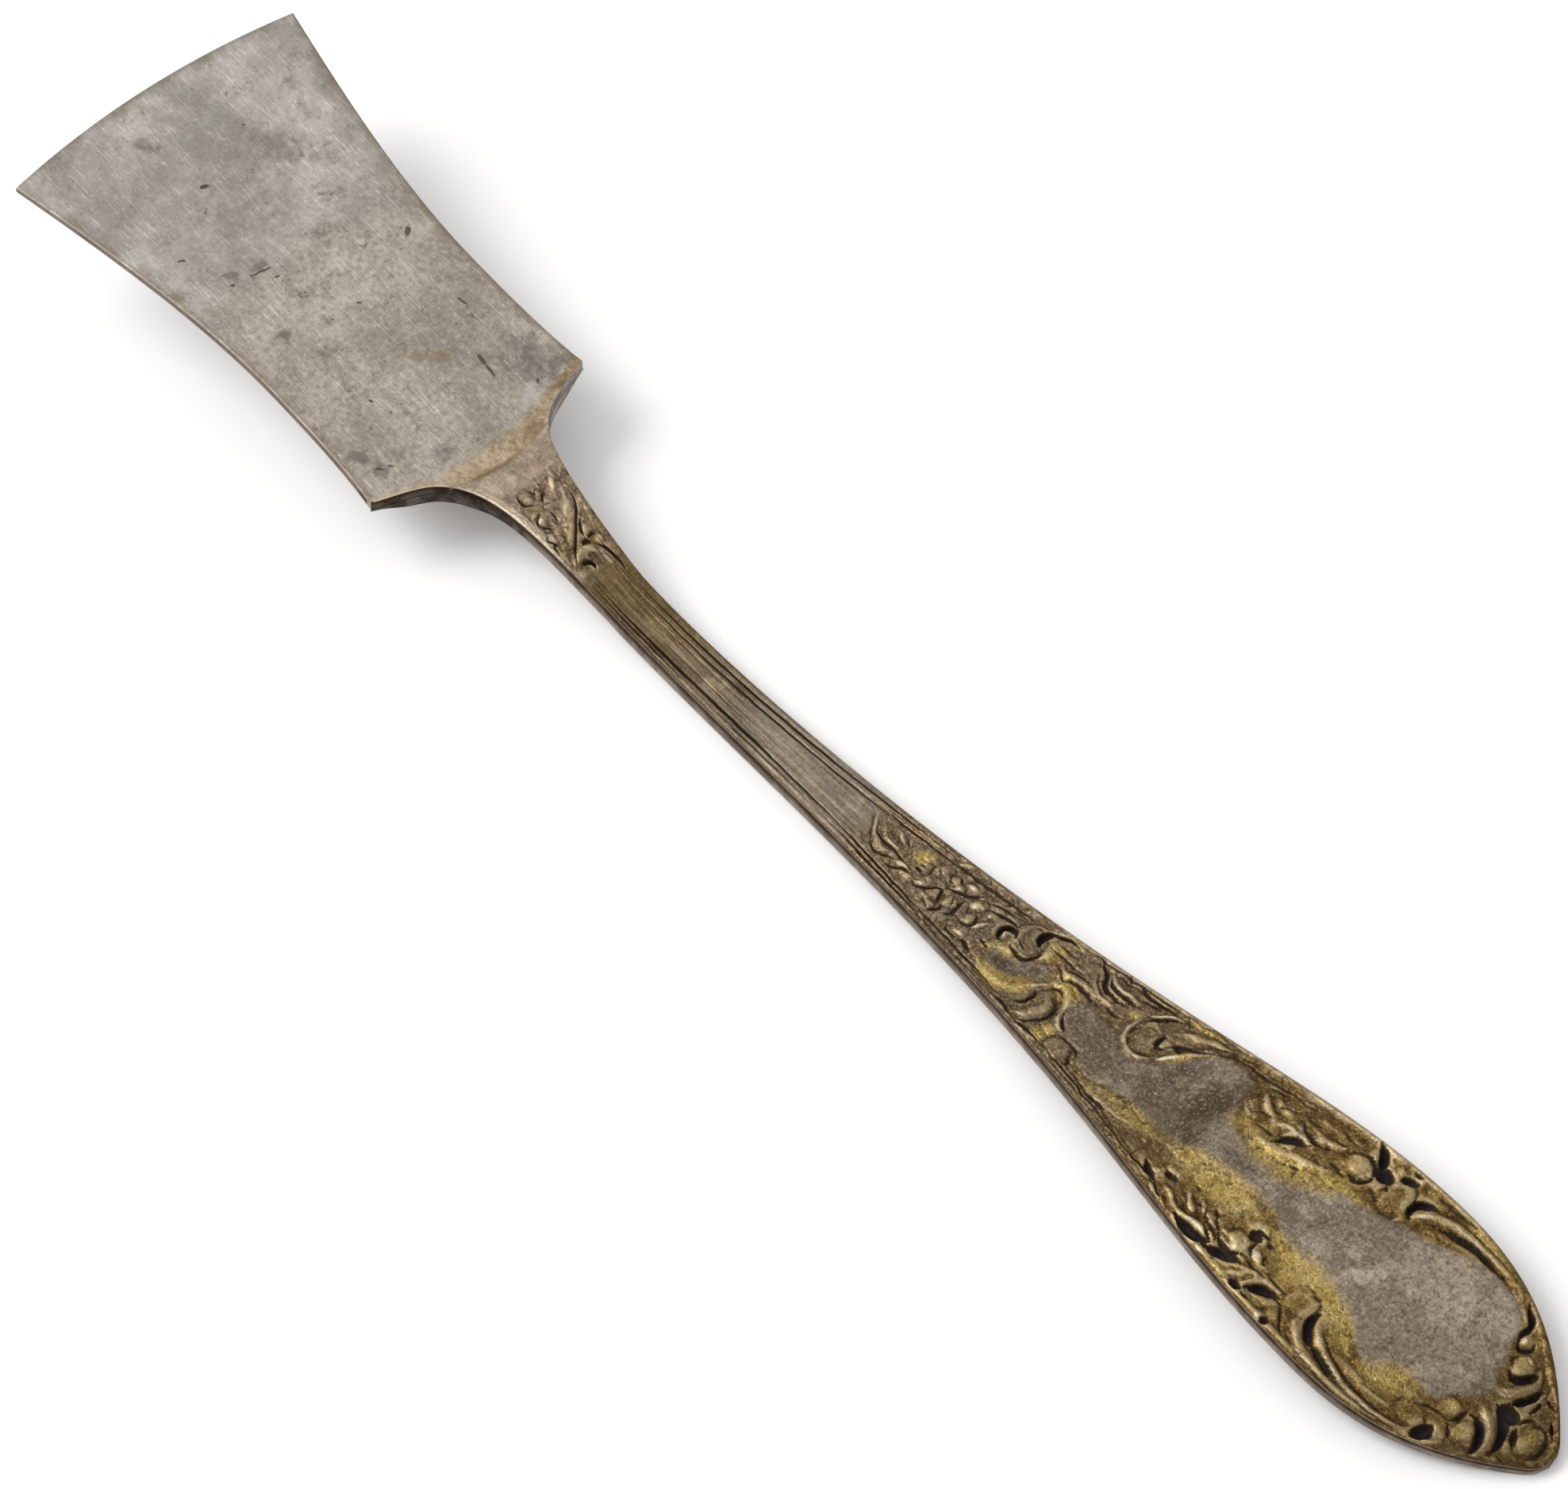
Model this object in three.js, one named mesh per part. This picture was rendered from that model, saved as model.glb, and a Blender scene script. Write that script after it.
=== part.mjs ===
// Pate spoon: a flat spatula blade brazed to a die-struck handle.
//
// The blade is a thin sheet with a bowed front edge and drawn-in sides. Its heel lies on the
// handle's flared palm, and a crescent of braze fills the crease between the blade's heel and
// the step where the neck rises. The handle runs on as a slim stem that dips and then lifts,
// and ends in a broad spatulate end with a pointed, rounded tip.
//
// Millimetres. The outline is laid out first in the blade's own plane: X from the front corners
// towards the tip, Y across, and Z up from the blade's top face. Then everything is tipped into
// the pose in which the spoon lies on a table, on the underside of its stem and of its tip.

import * as THREE from 'three';
import { mergeVertices } from 'three/addons/utils/BufferGeometryUtils.js';

// Blade, seen from above
const bladeSideLength = 35.8;      // front corner to heel corner, along the middle line
const frontWidth = 24.0;           // across the front corners
const frontBulge = 1.2;            // how far the front edge bows out at its middle
const sideLean = 0.2;              // how fast the sides draw in at the front corners
const waistWidth = 17.3;           // narrowest place of the blade
const waistSetback = 10.3;         // waist to the heel corners, along the middle line
const shoulderWidth = 18.2;        // across the two shoulder corners
const shoulderLean = 0.12;         // how fast the sides open again at the shoulders
const heelBow = 1.9;               // how far the heel edge bows towards the handle

// Blade, thickness
const frontThickness = 0.6;
const heelThickness = 0.8;

// Braze crescent
const brazeFilm = 0.05;            // clearance all round the braze and under the blade
const brazeEndWidth = 0.5;         // width of the crescent at the shoulder corners
const brazeSag = 0.14;             // how hollow its top is

// Palm, the flared plate of the handle under the blade's heel
const palmReach = 5.0;             // how far it reaches under the blade at the middle
const palmLip = 0.25;              // thickness at its thin front lip
const palmThickness = 0.75;        // thickness under the crease

// Neck
const creaseRun = 3.6;             // heel corners to the crease at the middle line
const creaseOnFlare = 0.45;        // where along the flare the crease meets the outline
const creaseStep = 0.12;           // the neck's top above the blade at the crease
const creaseLean = 0.2;            // how far the face of the step leans back
const creaseSlope = 0.1;           // how fast the neck's top climbs from the crease
const flarePullLength = 1.85;      // shape of the flare near the shoulder, along X
const flarePullHalf = 4.15;        // shape of the flare near the shoulder, half width
const flareEaseLength = 15.0;      // shape of the flare where it runs into the stem
const flareEaseRise = 0.74;        // half width that is left there
const crownRun = 2.6;              // crease to the highest place of the neck
const crownRise = 0.35;            // its top above the blade
const neckThickness = 1.9;

// Stem
const neckRun = 15.7;              // shoulder corners to where the flare has run out
const stemWidth = 3.46;
const stemThickness = 2.1;
const dipRun = 2.0;                // from there to the lowest place of the stem's top line
const dipDepth = 0.9;              // its top below the blade

// Broad end
const swellRun = 73.0;             // end of the flare to the widest place
const swellWidth = 14.76;
const swellEaseFromStem = 50.0;    // how long the edges stay close to the stem's width
const swellEaseToEnd = 16.0;       // how early they reach the full width
const crestRun = 2.0;              // widest place to the highest place of the handle
const crestRise = 9.72;            // its top above the blade
const liftEaseFromStem = 18.0;     // shape of the lift where it leaves the stem
const liftEaseToCrest = 17.5;      // shape of the lift where it comes to the crest
const endThickness = 1.9;
const tipRun = 15.0;               // widest place to the very tip
const tipDrop = 0.5;               // the tip's top below the crest
const tipThickness = 1.35;
const noseRadius = 1.9;            // rounding of the tip, seen from above
const noseHalfAngle = 46;          // degrees of the nose's arc on each side of the middle line
const cheekEase = 6.2;             // how long the edges stay wide after the widest place
const cheekRun = 6.0;              // straightness of the edges just before the nose

// Struck top
const rimRound = 0.14;             // rounding of the top edges
const rimWidth = 0.42;             // plain rim outside the thread
const threadWidth = 0.3;           // width of the sunk thread line
const threadDepth = 0.16;
const threadFade = 4.0;            // length over which the thread runs out before the nose
const slimHalf = 1.6;              // rim and thread narrow where the half width is under this
const fieldLead = 28.5;            // near end of the plain sunk field to the widest place
const fieldSetback = 4.8;          // far end of the field to the very tip
const fieldEndRound = 8.2;         // length over which its far end closes
const fieldHalf = 4.3;             // its half width where the handle is widest
const fieldSink = 0.22;            // depth of the field below the ornamented border
const fieldRamp = 0.7;             // width of the slope round the field
const borderLeast = 0.3;           // least flat border between the slope and the thread

// Underside
const soleInset = 0.55;            // rounding of the lower edges, across
const soleRise = 0.45;             // rounding of the lower edges, in height
const soleShare = 0.4;             // at most this share of the metal is rounded away
const wearDepth = 0.07;            // metal worn flat where the spoon touches the table

// Fineness of the facets
const bladeRows = 16;
const bladeColumns = 12;
const brazeRows = 4;
const brazeColumns = 28;
const palmRows = 8;
const neckRows = 14;
const stemRows = 46;
const endRows = 18;
const noseRows = 6;
const noseStop = 0.35;              // the last row stands this share of a step short of the tip

const mix = (a, b, t) => a + (b - a) * t;
const ease = (t) => t * t * (3 - 2 * t);
const clamp01 = (t) => Math.min(1, Math.max(0, t));
const degrees = Math.PI / 180;

// Height of a cubic that leaves (x0, y0) and reaches (x1, y1) with the given slopes
function hermite(x, x0, y0, m0, x1, y1, m1) {
  const h = x1 - x0;
  const t = (x - x0) / h;
  return (
    y0 * (1 + 2 * t) * (1 - t) * (1 - t) +
    m0 * h * t * (1 - t) * (1 - t) +
    y1 * t * t * (3 - 2 * t) +
    m1 * h * t * t * (t - 1)
  );
}

// Value of a plane curve at a given X, found by halving
function heightAt(curve, x) {
  let low = 0;
  let high = 1;
  for (let i = 0; i < 40; i += 1) {
    const t = (low + high) / 2;
    if (curve.getPoint(t).x < x) low = t;
    else high = t;
  }
  return curve.getPoint((low + high) / 2).y;
}

// Outline, as places along X from the front corners

const waistPlace = bladeSideLength - waistSetback;
const shoulderPlace = bladeSideLength + brazeEndWidth;
const creasePlace = bladeSideLength + creaseRun;
const crownPlace = creasePlace + crownRun;
const stemPlace = shoulderPlace + neckRun;
const dipPlace = stemPlace + dipRun;
const swellPlace = stemPlace + swellRun;
const crestPlace = swellPlace + crestRun;
const tipPlace = swellPlace + tipRun;
const fieldStart = swellPlace - fieldLead;
const fieldEnd = tipPlace - fieldSetback;
const shoulderHalf = shoulderWidth / 2;
const stemHalf = stemWidth / 2;
const swellHalf = swellWidth / 2;
const v2 = (x, y) => new THREE.Vector2(x, y);

function bladeHalf(x) {
  if (x < waistPlace) return hermite(x, 0, frontWidth / 2, -sideLean, waistPlace, waistWidth / 2, 0);
  return hermite(x, waistPlace, waistWidth / 2, 0, shoulderPlace, shoulderHalf, shoulderLean);
}

const flare = new THREE.CubicBezierCurve(
  v2(shoulderPlace, shoulderHalf),
  v2(shoulderPlace + flarePullLength, flarePullHalf),
  v2(stemPlace - flareEaseLength, stemHalf + flareEaseRise),
  v2(stemPlace, stemHalf)
);
const swell = new THREE.CubicBezierCurve(
  v2(stemPlace, stemHalf),
  v2(stemPlace + swellEaseFromStem, stemHalf),
  v2(swellPlace - swellEaseToEnd, swellHalf),
  v2(swellPlace, swellHalf)
);
const noseTurn = noseHalfAngle * degrees;
const noseCentre = tipPlace - noseRadius;
const noseStart = v2(noseCentre + noseRadius * Math.cos(noseTurn), noseRadius * Math.sin(noseTurn));
const cheek = new THREE.CubicBezierCurve(
  v2(swellPlace, swellHalf),
  v2(swellPlace + cheekEase, swellHalf),
  v2(noseStart.x - cheekRun * Math.sin(noseTurn), noseStart.y + cheekRun * Math.cos(noseTurn)),
  noseStart
);
const creaseEdge = flare.getPoint(creaseOnFlare);
const creaseBow = creasePlace - creaseEdge.x;

// Side view

const lift = new THREE.CubicBezierCurve(
  v2(dipPlace, -dipDepth),
  v2(dipPlace + liftEaseFromStem, -dipDepth),
  v2(crestPlace - liftEaseToCrest, crestRise),
  v2(crestPlace, crestRise)
);

function topLine(x) {
  if (x < crownPlace) {
    return hermite(x, creasePlace, creaseStep, creaseSlope, crownPlace, crownRise, 0);
  }
  if (x < dipPlace) return mix(crownRise, -dipDepth, ease((x - crownPlace) / (dipPlace - crownPlace)));
  if (x < crestPlace) return heightAt(lift, x);
  const t = (x - crestPlace) / (tipPlace - crestPlace);
  return crestRise - tipDrop * t * t;
}

function thickness(x) {
  if (x < stemPlace) {
    return mix(neckThickness, stemThickness, ease(clamp01((x - crownPlace) / (stemPlace - crownPlace))));
  }
  if (x < swellPlace) {
    return mix(stemThickness, endThickness, (x - stemPlace) / (swellPlace - stemPlace));
  }
  return mix(endThickness, tipThickness, ease((x - swellPlace) / (tipPlace - swellPlace)));
}

// Rest pose: the spoon tips until the undersides of stem and tip touch the same plane

const underside = (x) => topLine(x) - thickness(x);

function lowest(slope, from, to) {
  let least = Infinity;
  for (let i = 0; i <= 200; i += 1) {
    const x = mix(from, to, i / 200);
    least = Math.min(least, underside(x) - slope * x);
  }
  return least;
}

const restStart = crownPlace;
const restSplit = (stemPlace + tipPlace) / 2;
let shallow = 0;
let steep = 0.5;
for (let i = 0; i < 50; i += 1) {
  const slope = (shallow + steep) / 2;
  const stemLow = lowest(slope, restStart, restSplit);
  const tipLow = lowest(slope, restSplit, noseCentre);
  if (tipLow > stemLow) shallow = slope;
  else steep = slope;
}
const restSlope = (shallow + steep) / 2;
const restAngle = Math.atan(restSlope);
const restFloor = lowest(restSlope, restStart, noseCentre) * Math.cos(restAngle);
const cosRest = Math.cos(restAngle);
const sinRest = Math.sin(restAngle);
const along = (x, z) => x * cosRest + z * sinRest;
const above = (x, z) => z * cosRest - x * sinRest - restFloor - wearDepth;

// The middle of the whole length, front edge to tip, becomes X zero
const frontReach = along(-frontBulge, -frontThickness);
const tipReach = along(tipPlace, topLine(tipPlace) - rimRound);
const middle = (frontReach + tipReach) / 2;

// A closed plate from a top grid and a bottom grid of points, rows along X and columns across
function plate(top, bottom) {
  const rows = top.length;
  const columns = top[0].length;
  const points = [];
  const faces = [];
  const put = ([x, y, z]) => {
    points.push(along(x, z) - middle, y, Math.max(0, above(x, z)));
  };
  for (const grid of [top, bottom]) for (const row of grid) for (const point of row) put(point);
  const at = (side, i, j) => (side * rows + i) * columns + j;
  const quad = (a, b, c, d) => faces.push(a, b, c, a, c, d);
  for (let i = 0; i < rows - 1; i += 1) {
    for (let j = 0; j < columns - 1; j += 1) {
      quad(at(0, i, j), at(0, i + 1, j), at(0, i + 1, j + 1), at(0, i, j + 1));
      quad(at(1, i, j), at(1, i, j + 1), at(1, i + 1, j + 1), at(1, i + 1, j));
    }
    quad(at(0, i, 0), at(1, i, 0), at(1, i + 1, 0), at(0, i + 1, 0));
    const e = columns - 1;
    quad(at(0, i, e), at(0, i + 1, e), at(1, i + 1, e), at(1, i, e));
  }
  for (let j = 0; j < columns - 1; j += 1) {
    quad(at(0, 0, j), at(0, 0, j + 1), at(1, 0, j + 1), at(1, 0, j));
    const e = rows - 1;
    quad(at(0, e, j), at(1, e, j), at(1, e, j + 1), at(0, e, j + 1));
  }
  const geometry = new THREE.BufferGeometry();
  geometry.setAttribute('position', new THREE.Float32BufferAttribute(points, 3));
  geometry.setIndex(faces);
  const merged = mergeVertices(geometry, 1e-5);
  merged.computeVertexNormals();
  return merged;
}

function piece(name, geometry, colour, roughness, metalness) {
  const material = new THREE.MeshStandardMaterial({ color: colour, roughness, metalness });
  const mesh = new THREE.Mesh(geometry, material);
  mesh.name = name;
  return mesh;
}

// Blade: a flat sheet, thinner towards the front edge

function makeBlade() {
  const top = [];
  const bottom = [];
  for (let i = 0; i <= bladeRows; i += 1) {
    const s = i / bladeRows;
    const edge = s * bladeSideLength;
    const bow = mix(-frontBulge, heelBow, s);
    const upper = [];
    const lower = [];
    for (let j = 0; j <= bladeColumns; j += 1) {
      const v = (2 * j) / bladeColumns - 1;
      const x = edge + bow * (1 - v * v);
      const y = v * bladeHalf(edge);
      upper.push([x, y, 0]);
      lower.push([x, y, -mix(frontThickness, heelThickness, s)]);
    }
    top.push(upper);
    bottom.push(lower);
  }
  return plate(top, bottom);
}

// Braze: a crescent from shoulder to shoulder, between the blade's heel and the neck's step

const heelLine = (y) => bladeSideLength + heelBow * (1 - (y / bladeHalf(bladeSideLength)) ** 2);
const creaseLine = (y) => creaseEdge.x + creaseBow * (1 - (y / creaseEdge.y) ** 2);
const outlineAt = (y) => {
  let low = 0;
  let high = 1;
  for (let i = 0; i < 40; i += 1) {
    const t = (low + high) / 2;
    if (flare.getPoint(t).y > y) low = t;
    else high = t;
  }
  return flare.getPoint((low + high) / 2).x;
};

function makeBraze() {
  const top = [];
  const bottom = [];
  const half = bladeHalf(bladeSideLength);
  for (let i = 0; i <= brazeRows; i += 1) {
    const s = i / brazeRows;
    const upper = [];
    const lower = [];
    for (let j = 0; j <= brazeColumns; j += 1) {
      const y = half * Math.sin((j / brazeColumns - 0.5) * Math.PI);
      const reach = Math.abs(y);
      const inner = heelLine(reach) + brazeFilm;
      const outer = reach < creaseEdge.y ? creaseLine(reach) - brazeFilm : outlineAt(reach);
      const x = mix(inner, Math.max(outer, inner + brazeEndWidth / 2), s);
      const middleness = clamp01(1 - reach / creaseEdge.y);
      const rise = creaseStep * s * s * ease(middleness);
      upper.push([x, y, rise - brazeSag * 4 * s * (1 - s)]);
      lower.push([x, y, -heelThickness]);
    }
    top.push(upper);
    bottom.push(lower);
  }
  return plate(top, bottom);
}

// Handle: palm, neck, stem and broad end in one struck piece

function fieldHalfAt(x) {
  const grow = clamp01((x - fieldStart) / (swellPlace - fieldStart));
  const close = clamp01((fieldEnd - x) / fieldEndRound);
  return fieldHalf * Math.sqrt(grow * close);
}

// Places across the struck top from the edge to the middle, each with its depth
function struckProfile(x, half) {
  const shrink = Math.min(1, half / slimHalf);
  const rim = half - rimWidth * shrink;
  const thread = rim - threadWidth * shrink;
  const cut = threadDepth * shrink * clamp01((fieldEnd - x) / threadFade);
  const field = fieldHalfAt(x);
  const sunk = clamp01(field / fieldRamp);
  const foot = mix(thread / 2, Math.min(field, thread - fieldRamp - borderLeast), sunk);
  const brow = mix((foot + thread) / 2, foot + fieldRamp, sunk);
  const drop = fieldSink * sunk;
  return [
    [half, rimRound],
    [half - rimRound * shrink, 0],
    [rim, 0],
    [(rim + thread) / 2, cut],
    [thread, 0],
    [brow, 0],
    [foot, drop],
    [foot / 2, drop],
    [0, drop],
  ];
}

// Places across the flat palm, as many as across the struck top
const palmProfile = (half) => {
  const shares = [1, 0.97, 0.93, 0.88, 0.82, 0.7, 0.5, 0.25, 0];
  return shares.map((share) => [half * share, 0]);
};

// One row of the handle: the middle of a row may be bowed forward or back
function handleRow(x, half, bow, topZ, bottomZ, struck) {
  const profile = struck ? struckProfile(x, half) : palmProfile(half);
  const inset = struck ? Math.min(soleInset, soleShare * half) : 0;
  const rounding = struck ? Math.min(soleRise, soleShare * (topZ - bottomZ)) : 0;
  const point = (y, z, side) => [x + bow * (1 - (y / half) ** 2), side * y, z];
  const upper = [];
  const lower = [];
  const add = (k, side) => {
    const [y, drop] = profile[k];
    const turn = clamp01(1 - k / 2);
    const yLow = struck ? Math.min(y, half - inset * (1 - turn)) : y;
    upper.push(point(y, topZ - drop, side));
    lower.push(point(yLow, bottomZ + rounding * turn * turn, side));
  };
  const last = profile.length - 1;
  for (let k = 0; k <= last; k += 1) add(k, -1);
  for (let k = last - 1; k >= 0; k -= 1) add(k, 1);
  return [upper, lower];
}

function makeHandle() {
  const top = [];
  const bottom = [];
  const add = ([upper, lower]) => {
    top.push(upper);
    bottom.push(lower);
  };
  const palmTop = -heelThickness - brazeFilm;
  const palmBottom = palmTop - palmThickness;
  for (let i = 0; i <= palmRows; i += 1) {
    const s = i / palmRows;
    const at = flare.getPoint(creaseOnFlare * s);
    const bow = mix(-palmReach, creaseBow, s);
    const low = mix(palmTop - palmLip, palmBottom, ease(clamp01(2 * s)));
    add(handleRow(at.x, at.y, bow, palmTop, low, false));
  }
  for (let i = 0; i <= neckRows; i += 1) {
    const s = i / neckRows;
    const at = flare.getPoint(mix(creaseOnFlare, 1, s));
    const x = i === 0 ? at.x + creaseLean : Math.max(at.x, creaseEdge.x + creaseLean * 2);
    const bow = creaseBow * (1 - ease(clamp01(2 * s)));
    const z = topLine(Math.max(creasePlace, x + bow));
    const low = mix(palmBottom, z - thickness(x), ease(clamp01(2 * s)));
    add(handleRow(x, at.y, bow, z, low, true));
  }
  const stretch = (curve, rows) => {
    for (let i = 1; i <= rows; i += 1) {
      const x = mix(curve.getPoint(0).x, curve.getPoint(1).x, i / rows);
      add(handleRow(x, heightAt(curve, x), 0, topLine(x), underside(x), true));
    }
  };
  stretch(swell, stemRows);
  stretch(cheek, endRows);
  for (let i = 1; i <= noseRows; i += 1) {
    const turn = noseTurn * (1 - i / (noseRows + noseStop));
    const x = noseCentre + noseRadius * Math.cos(turn);
    add(handleRow(x, noseRadius * Math.sin(turn), 0, topLine(x), underside(x), true));
  }
  return plate(top, bottom);
}

const spoon = new THREE.Group();
spoon.add(piece('blade', makeBlade(), 0x9a9489, 0.42, 1));
spoon.add(piece('heel_braze', makeBraze(), 0xa88c5c, 0.45, 1));
spoon.add(piece('handle', makeHandle(), 0x7d705a, 0.42, 1));

export default spoon;
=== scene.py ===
# %% [markdown]
# # A small pate spoon in worn plate
#
# The spoon is a flat spatula blade on a die-struck handle with scrolls and leaves. Three pieces
# are made here: the blade, the handle, and the crescent of braze between them. The sizes come
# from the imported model, which is loaded first as a fixed frame. Everything after it is built as
# meshes from named sizes, because a struck ornament is a height map over a curved strip, and a
# mesh that knows the height of each of its points shows it from every side.

# %% Load the frame
import math

import bpy
import numpy as np
from mathutils import Matrix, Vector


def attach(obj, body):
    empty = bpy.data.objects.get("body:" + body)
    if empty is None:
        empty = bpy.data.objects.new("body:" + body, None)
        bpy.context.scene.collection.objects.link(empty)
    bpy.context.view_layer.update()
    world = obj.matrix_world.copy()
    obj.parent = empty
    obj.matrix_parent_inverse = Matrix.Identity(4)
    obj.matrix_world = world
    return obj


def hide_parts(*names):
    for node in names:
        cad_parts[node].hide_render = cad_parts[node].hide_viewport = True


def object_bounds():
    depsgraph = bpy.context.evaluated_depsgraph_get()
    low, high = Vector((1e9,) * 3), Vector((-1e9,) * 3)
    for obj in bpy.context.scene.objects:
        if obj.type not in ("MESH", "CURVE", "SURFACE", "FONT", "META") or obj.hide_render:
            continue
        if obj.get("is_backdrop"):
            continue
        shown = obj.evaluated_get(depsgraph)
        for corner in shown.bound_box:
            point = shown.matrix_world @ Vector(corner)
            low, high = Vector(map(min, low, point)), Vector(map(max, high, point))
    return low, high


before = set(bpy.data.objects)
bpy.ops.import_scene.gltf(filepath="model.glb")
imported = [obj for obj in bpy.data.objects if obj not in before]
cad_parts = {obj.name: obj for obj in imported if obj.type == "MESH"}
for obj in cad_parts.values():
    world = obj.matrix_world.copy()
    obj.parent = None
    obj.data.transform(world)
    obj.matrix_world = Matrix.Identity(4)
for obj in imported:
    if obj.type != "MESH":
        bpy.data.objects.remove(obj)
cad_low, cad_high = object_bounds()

# %% [markdown]
# ## Where the spoon lies
#
# The outline is drawn in the plane of the blade, in millimetres: x from the front corners to the
# tip, y across, z up from the blade's top. On the table the spoon is tipped a little, because it
# rests on the underside of its stem and of its tip. The tilt could be typed in as a number. It is
# measured on the frame's blade instead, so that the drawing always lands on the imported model.

# %% From the drawing to the table
MM = 0.001
BLADE_FRONT_HALF = 12.0
CORNER_SLACK = 0.05

blade_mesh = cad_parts["blade"].data
top_normal = sum((p.normal * p.area for p in blade_mesh.polygons if p.normal.z > 0.5),
                 start=blade_mesh.polygons[0].normal * 0)
tilt = math.atan2(top_normal.x, top_normal.z)
corner = max((v.co for v in blade_mesh.vertices if v.co.y > (BLADE_FRONT_HALF - CORNER_SLACK) * MM),
             key=lambda co: co.z)
LENGTHWISE = np.array([math.cos(tilt), 0, -math.sin(tilt)])
UPWARD = np.array([math.sin(tilt), 0, math.cos(tilt)])
ORIGIN = np.array([corner.x, 0, corner.z])


def lay(x, y, z):
    """Points of the drawing, in millimetres, as places on the table, in metres."""
    x, y, z = np.broadcast_arrays(x, y, z)
    place = ORIGIN + MM * (x[..., None] * LENGTHWISE + z[..., None] * UPWARD)
    place[..., 1] += MM * y
    place[..., 2] = np.maximum(place[..., 2], 0)
    return place


print("tilt", round(math.degrees(tilt), 3), "degrees, corner", [round(c / MM, 3) for c in corner])

# %% [markdown]
# ## Camera
#
# The photo looks down on the spoon from its lower left. A camera was fitted to the outline of the
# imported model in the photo: how steeply it looks, from which side, from how far, and where the
# middle of the picture meets the blade's plane. The lens follows from the picture's width.

# %% Camera at the photo's angle
LOOK_DOWN = math.radians(58.6497)
LOOK_ALONG = math.radians(140.449)
CAMERA_DISTANCE = 430.0
AIM_RIGHT = -43.7404
AIM_UP = 44.9169
PIXELS_PER_MM = 18.1047
PHOTO_WIDTH = 1976
SENSOR = 36


def drawn_direction(x, y, z):
    """A direction of the drawing, turned to the table."""
    return x * LENGTHWISE + y * np.array([0, 1, 0]) + z * UPWARD


def add_thing(name, data, right, up, back, place):
    """An object with these three directions of its own, at this place."""
    thing = bpy.data.objects.new(name, data)
    bpy.context.scene.collection.objects.link(thing)
    pose = np.identity(4)
    pose[:3] = np.stack([right, up, back, place], axis=1)
    thing.matrix_world = Matrix(pose.tolist())
    return thing


right = np.array([math.sin(LOOK_ALONG), -math.cos(LOOK_ALONG), 0])
back = np.array([-math.cos(LOOK_DOWN) * math.cos(LOOK_ALONG),
                 -math.cos(LOOK_DOWN) * math.sin(LOOK_ALONG), math.sin(LOOK_DOWN)])
up = np.cross(back, right)
stand = CAMERA_DISTANCE * back - AIM_RIGHT * right - AIM_UP * up
turned = [drawn_direction(*direction) for direction in (right, up, back)]
camera = add_thing("camera", bpy.data.cameras.new("camera"), *turned, lay(*stand))
bpy.context.scene.camera = camera
camera.data.sensor_width = SENSOR
camera.data.lens = SENSOR * PIXELS_PER_MM * CAMERA_DISTANCE / PHOTO_WIDTH
camera.data.clip_start = 0.01
print("camera stands at", lay(*stand).round(4).tolist(), "lens", round(camera.data.lens, 1), "mm")

# %% [markdown]
# ## Shader sums
#
# A shader is a net of nodes, and the maths in it reads badly as a list of nodes and links. The
# class below wraps one output socket and answers to plus, minus and times, so that the maths can
# be written as it would be on paper. Everything that isn't a sum goes through one method, which
# takes the node's type, its settings and what goes into its sockets.

# %% A socket that can be added and multiplied


def maths(operation, swapped=False):
    """A method that adds one Math node to a Value and another."""
    def method(self, other=0):
        pair = (other, self) if swapped else (self, other)
        return self.finish.node("ShaderNodeMath", {"operation": operation}, dict(enumerate(pair)))
    return method


class Value:
    """One output of a node. Sums with it add Math nodes."""

    def __init__(self, finish, socket):
        self.finish = finish
        self.socket = socket

    __add__ = __radd__ = maths("ADD")
    __sub__ = maths("SUBTRACT")
    __rsub__ = maths("SUBTRACT", swapped=True)
    __mul__ = __rmul__ = maths("MULTIPLY")
    least = maths("MINIMUM")
    most = maths("MAXIMUM")
    size = maths("ABSOLUTE")

    def between(self, low, high):
        """0 below low, 1 above high, and a soft step between."""
        settings = {"interpolation_type": "SMOOTHSTEP"}
        return self.finish.node("ShaderNodeMapRange", settings,
                                {"Value": self, "From Min": low, "From Max": high})


def shade(colour):
    """A colour as a painter reads it off a screen, 0 to 255, as linear light. A Value stays."""
    if isinstance(colour, Value):
        return colour
    shares = [channel / 255 for channel in colour]
    light = [c / 12.92 if c <= 0.04045 else ((c + 0.055) / 1.055) ** 2.4 for c in shares]
    return (*light, 1.0)


METAL_SHARE = 0.86
GRAZING_TINT = (0.5, 0.42, 0.36, 1)


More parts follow.
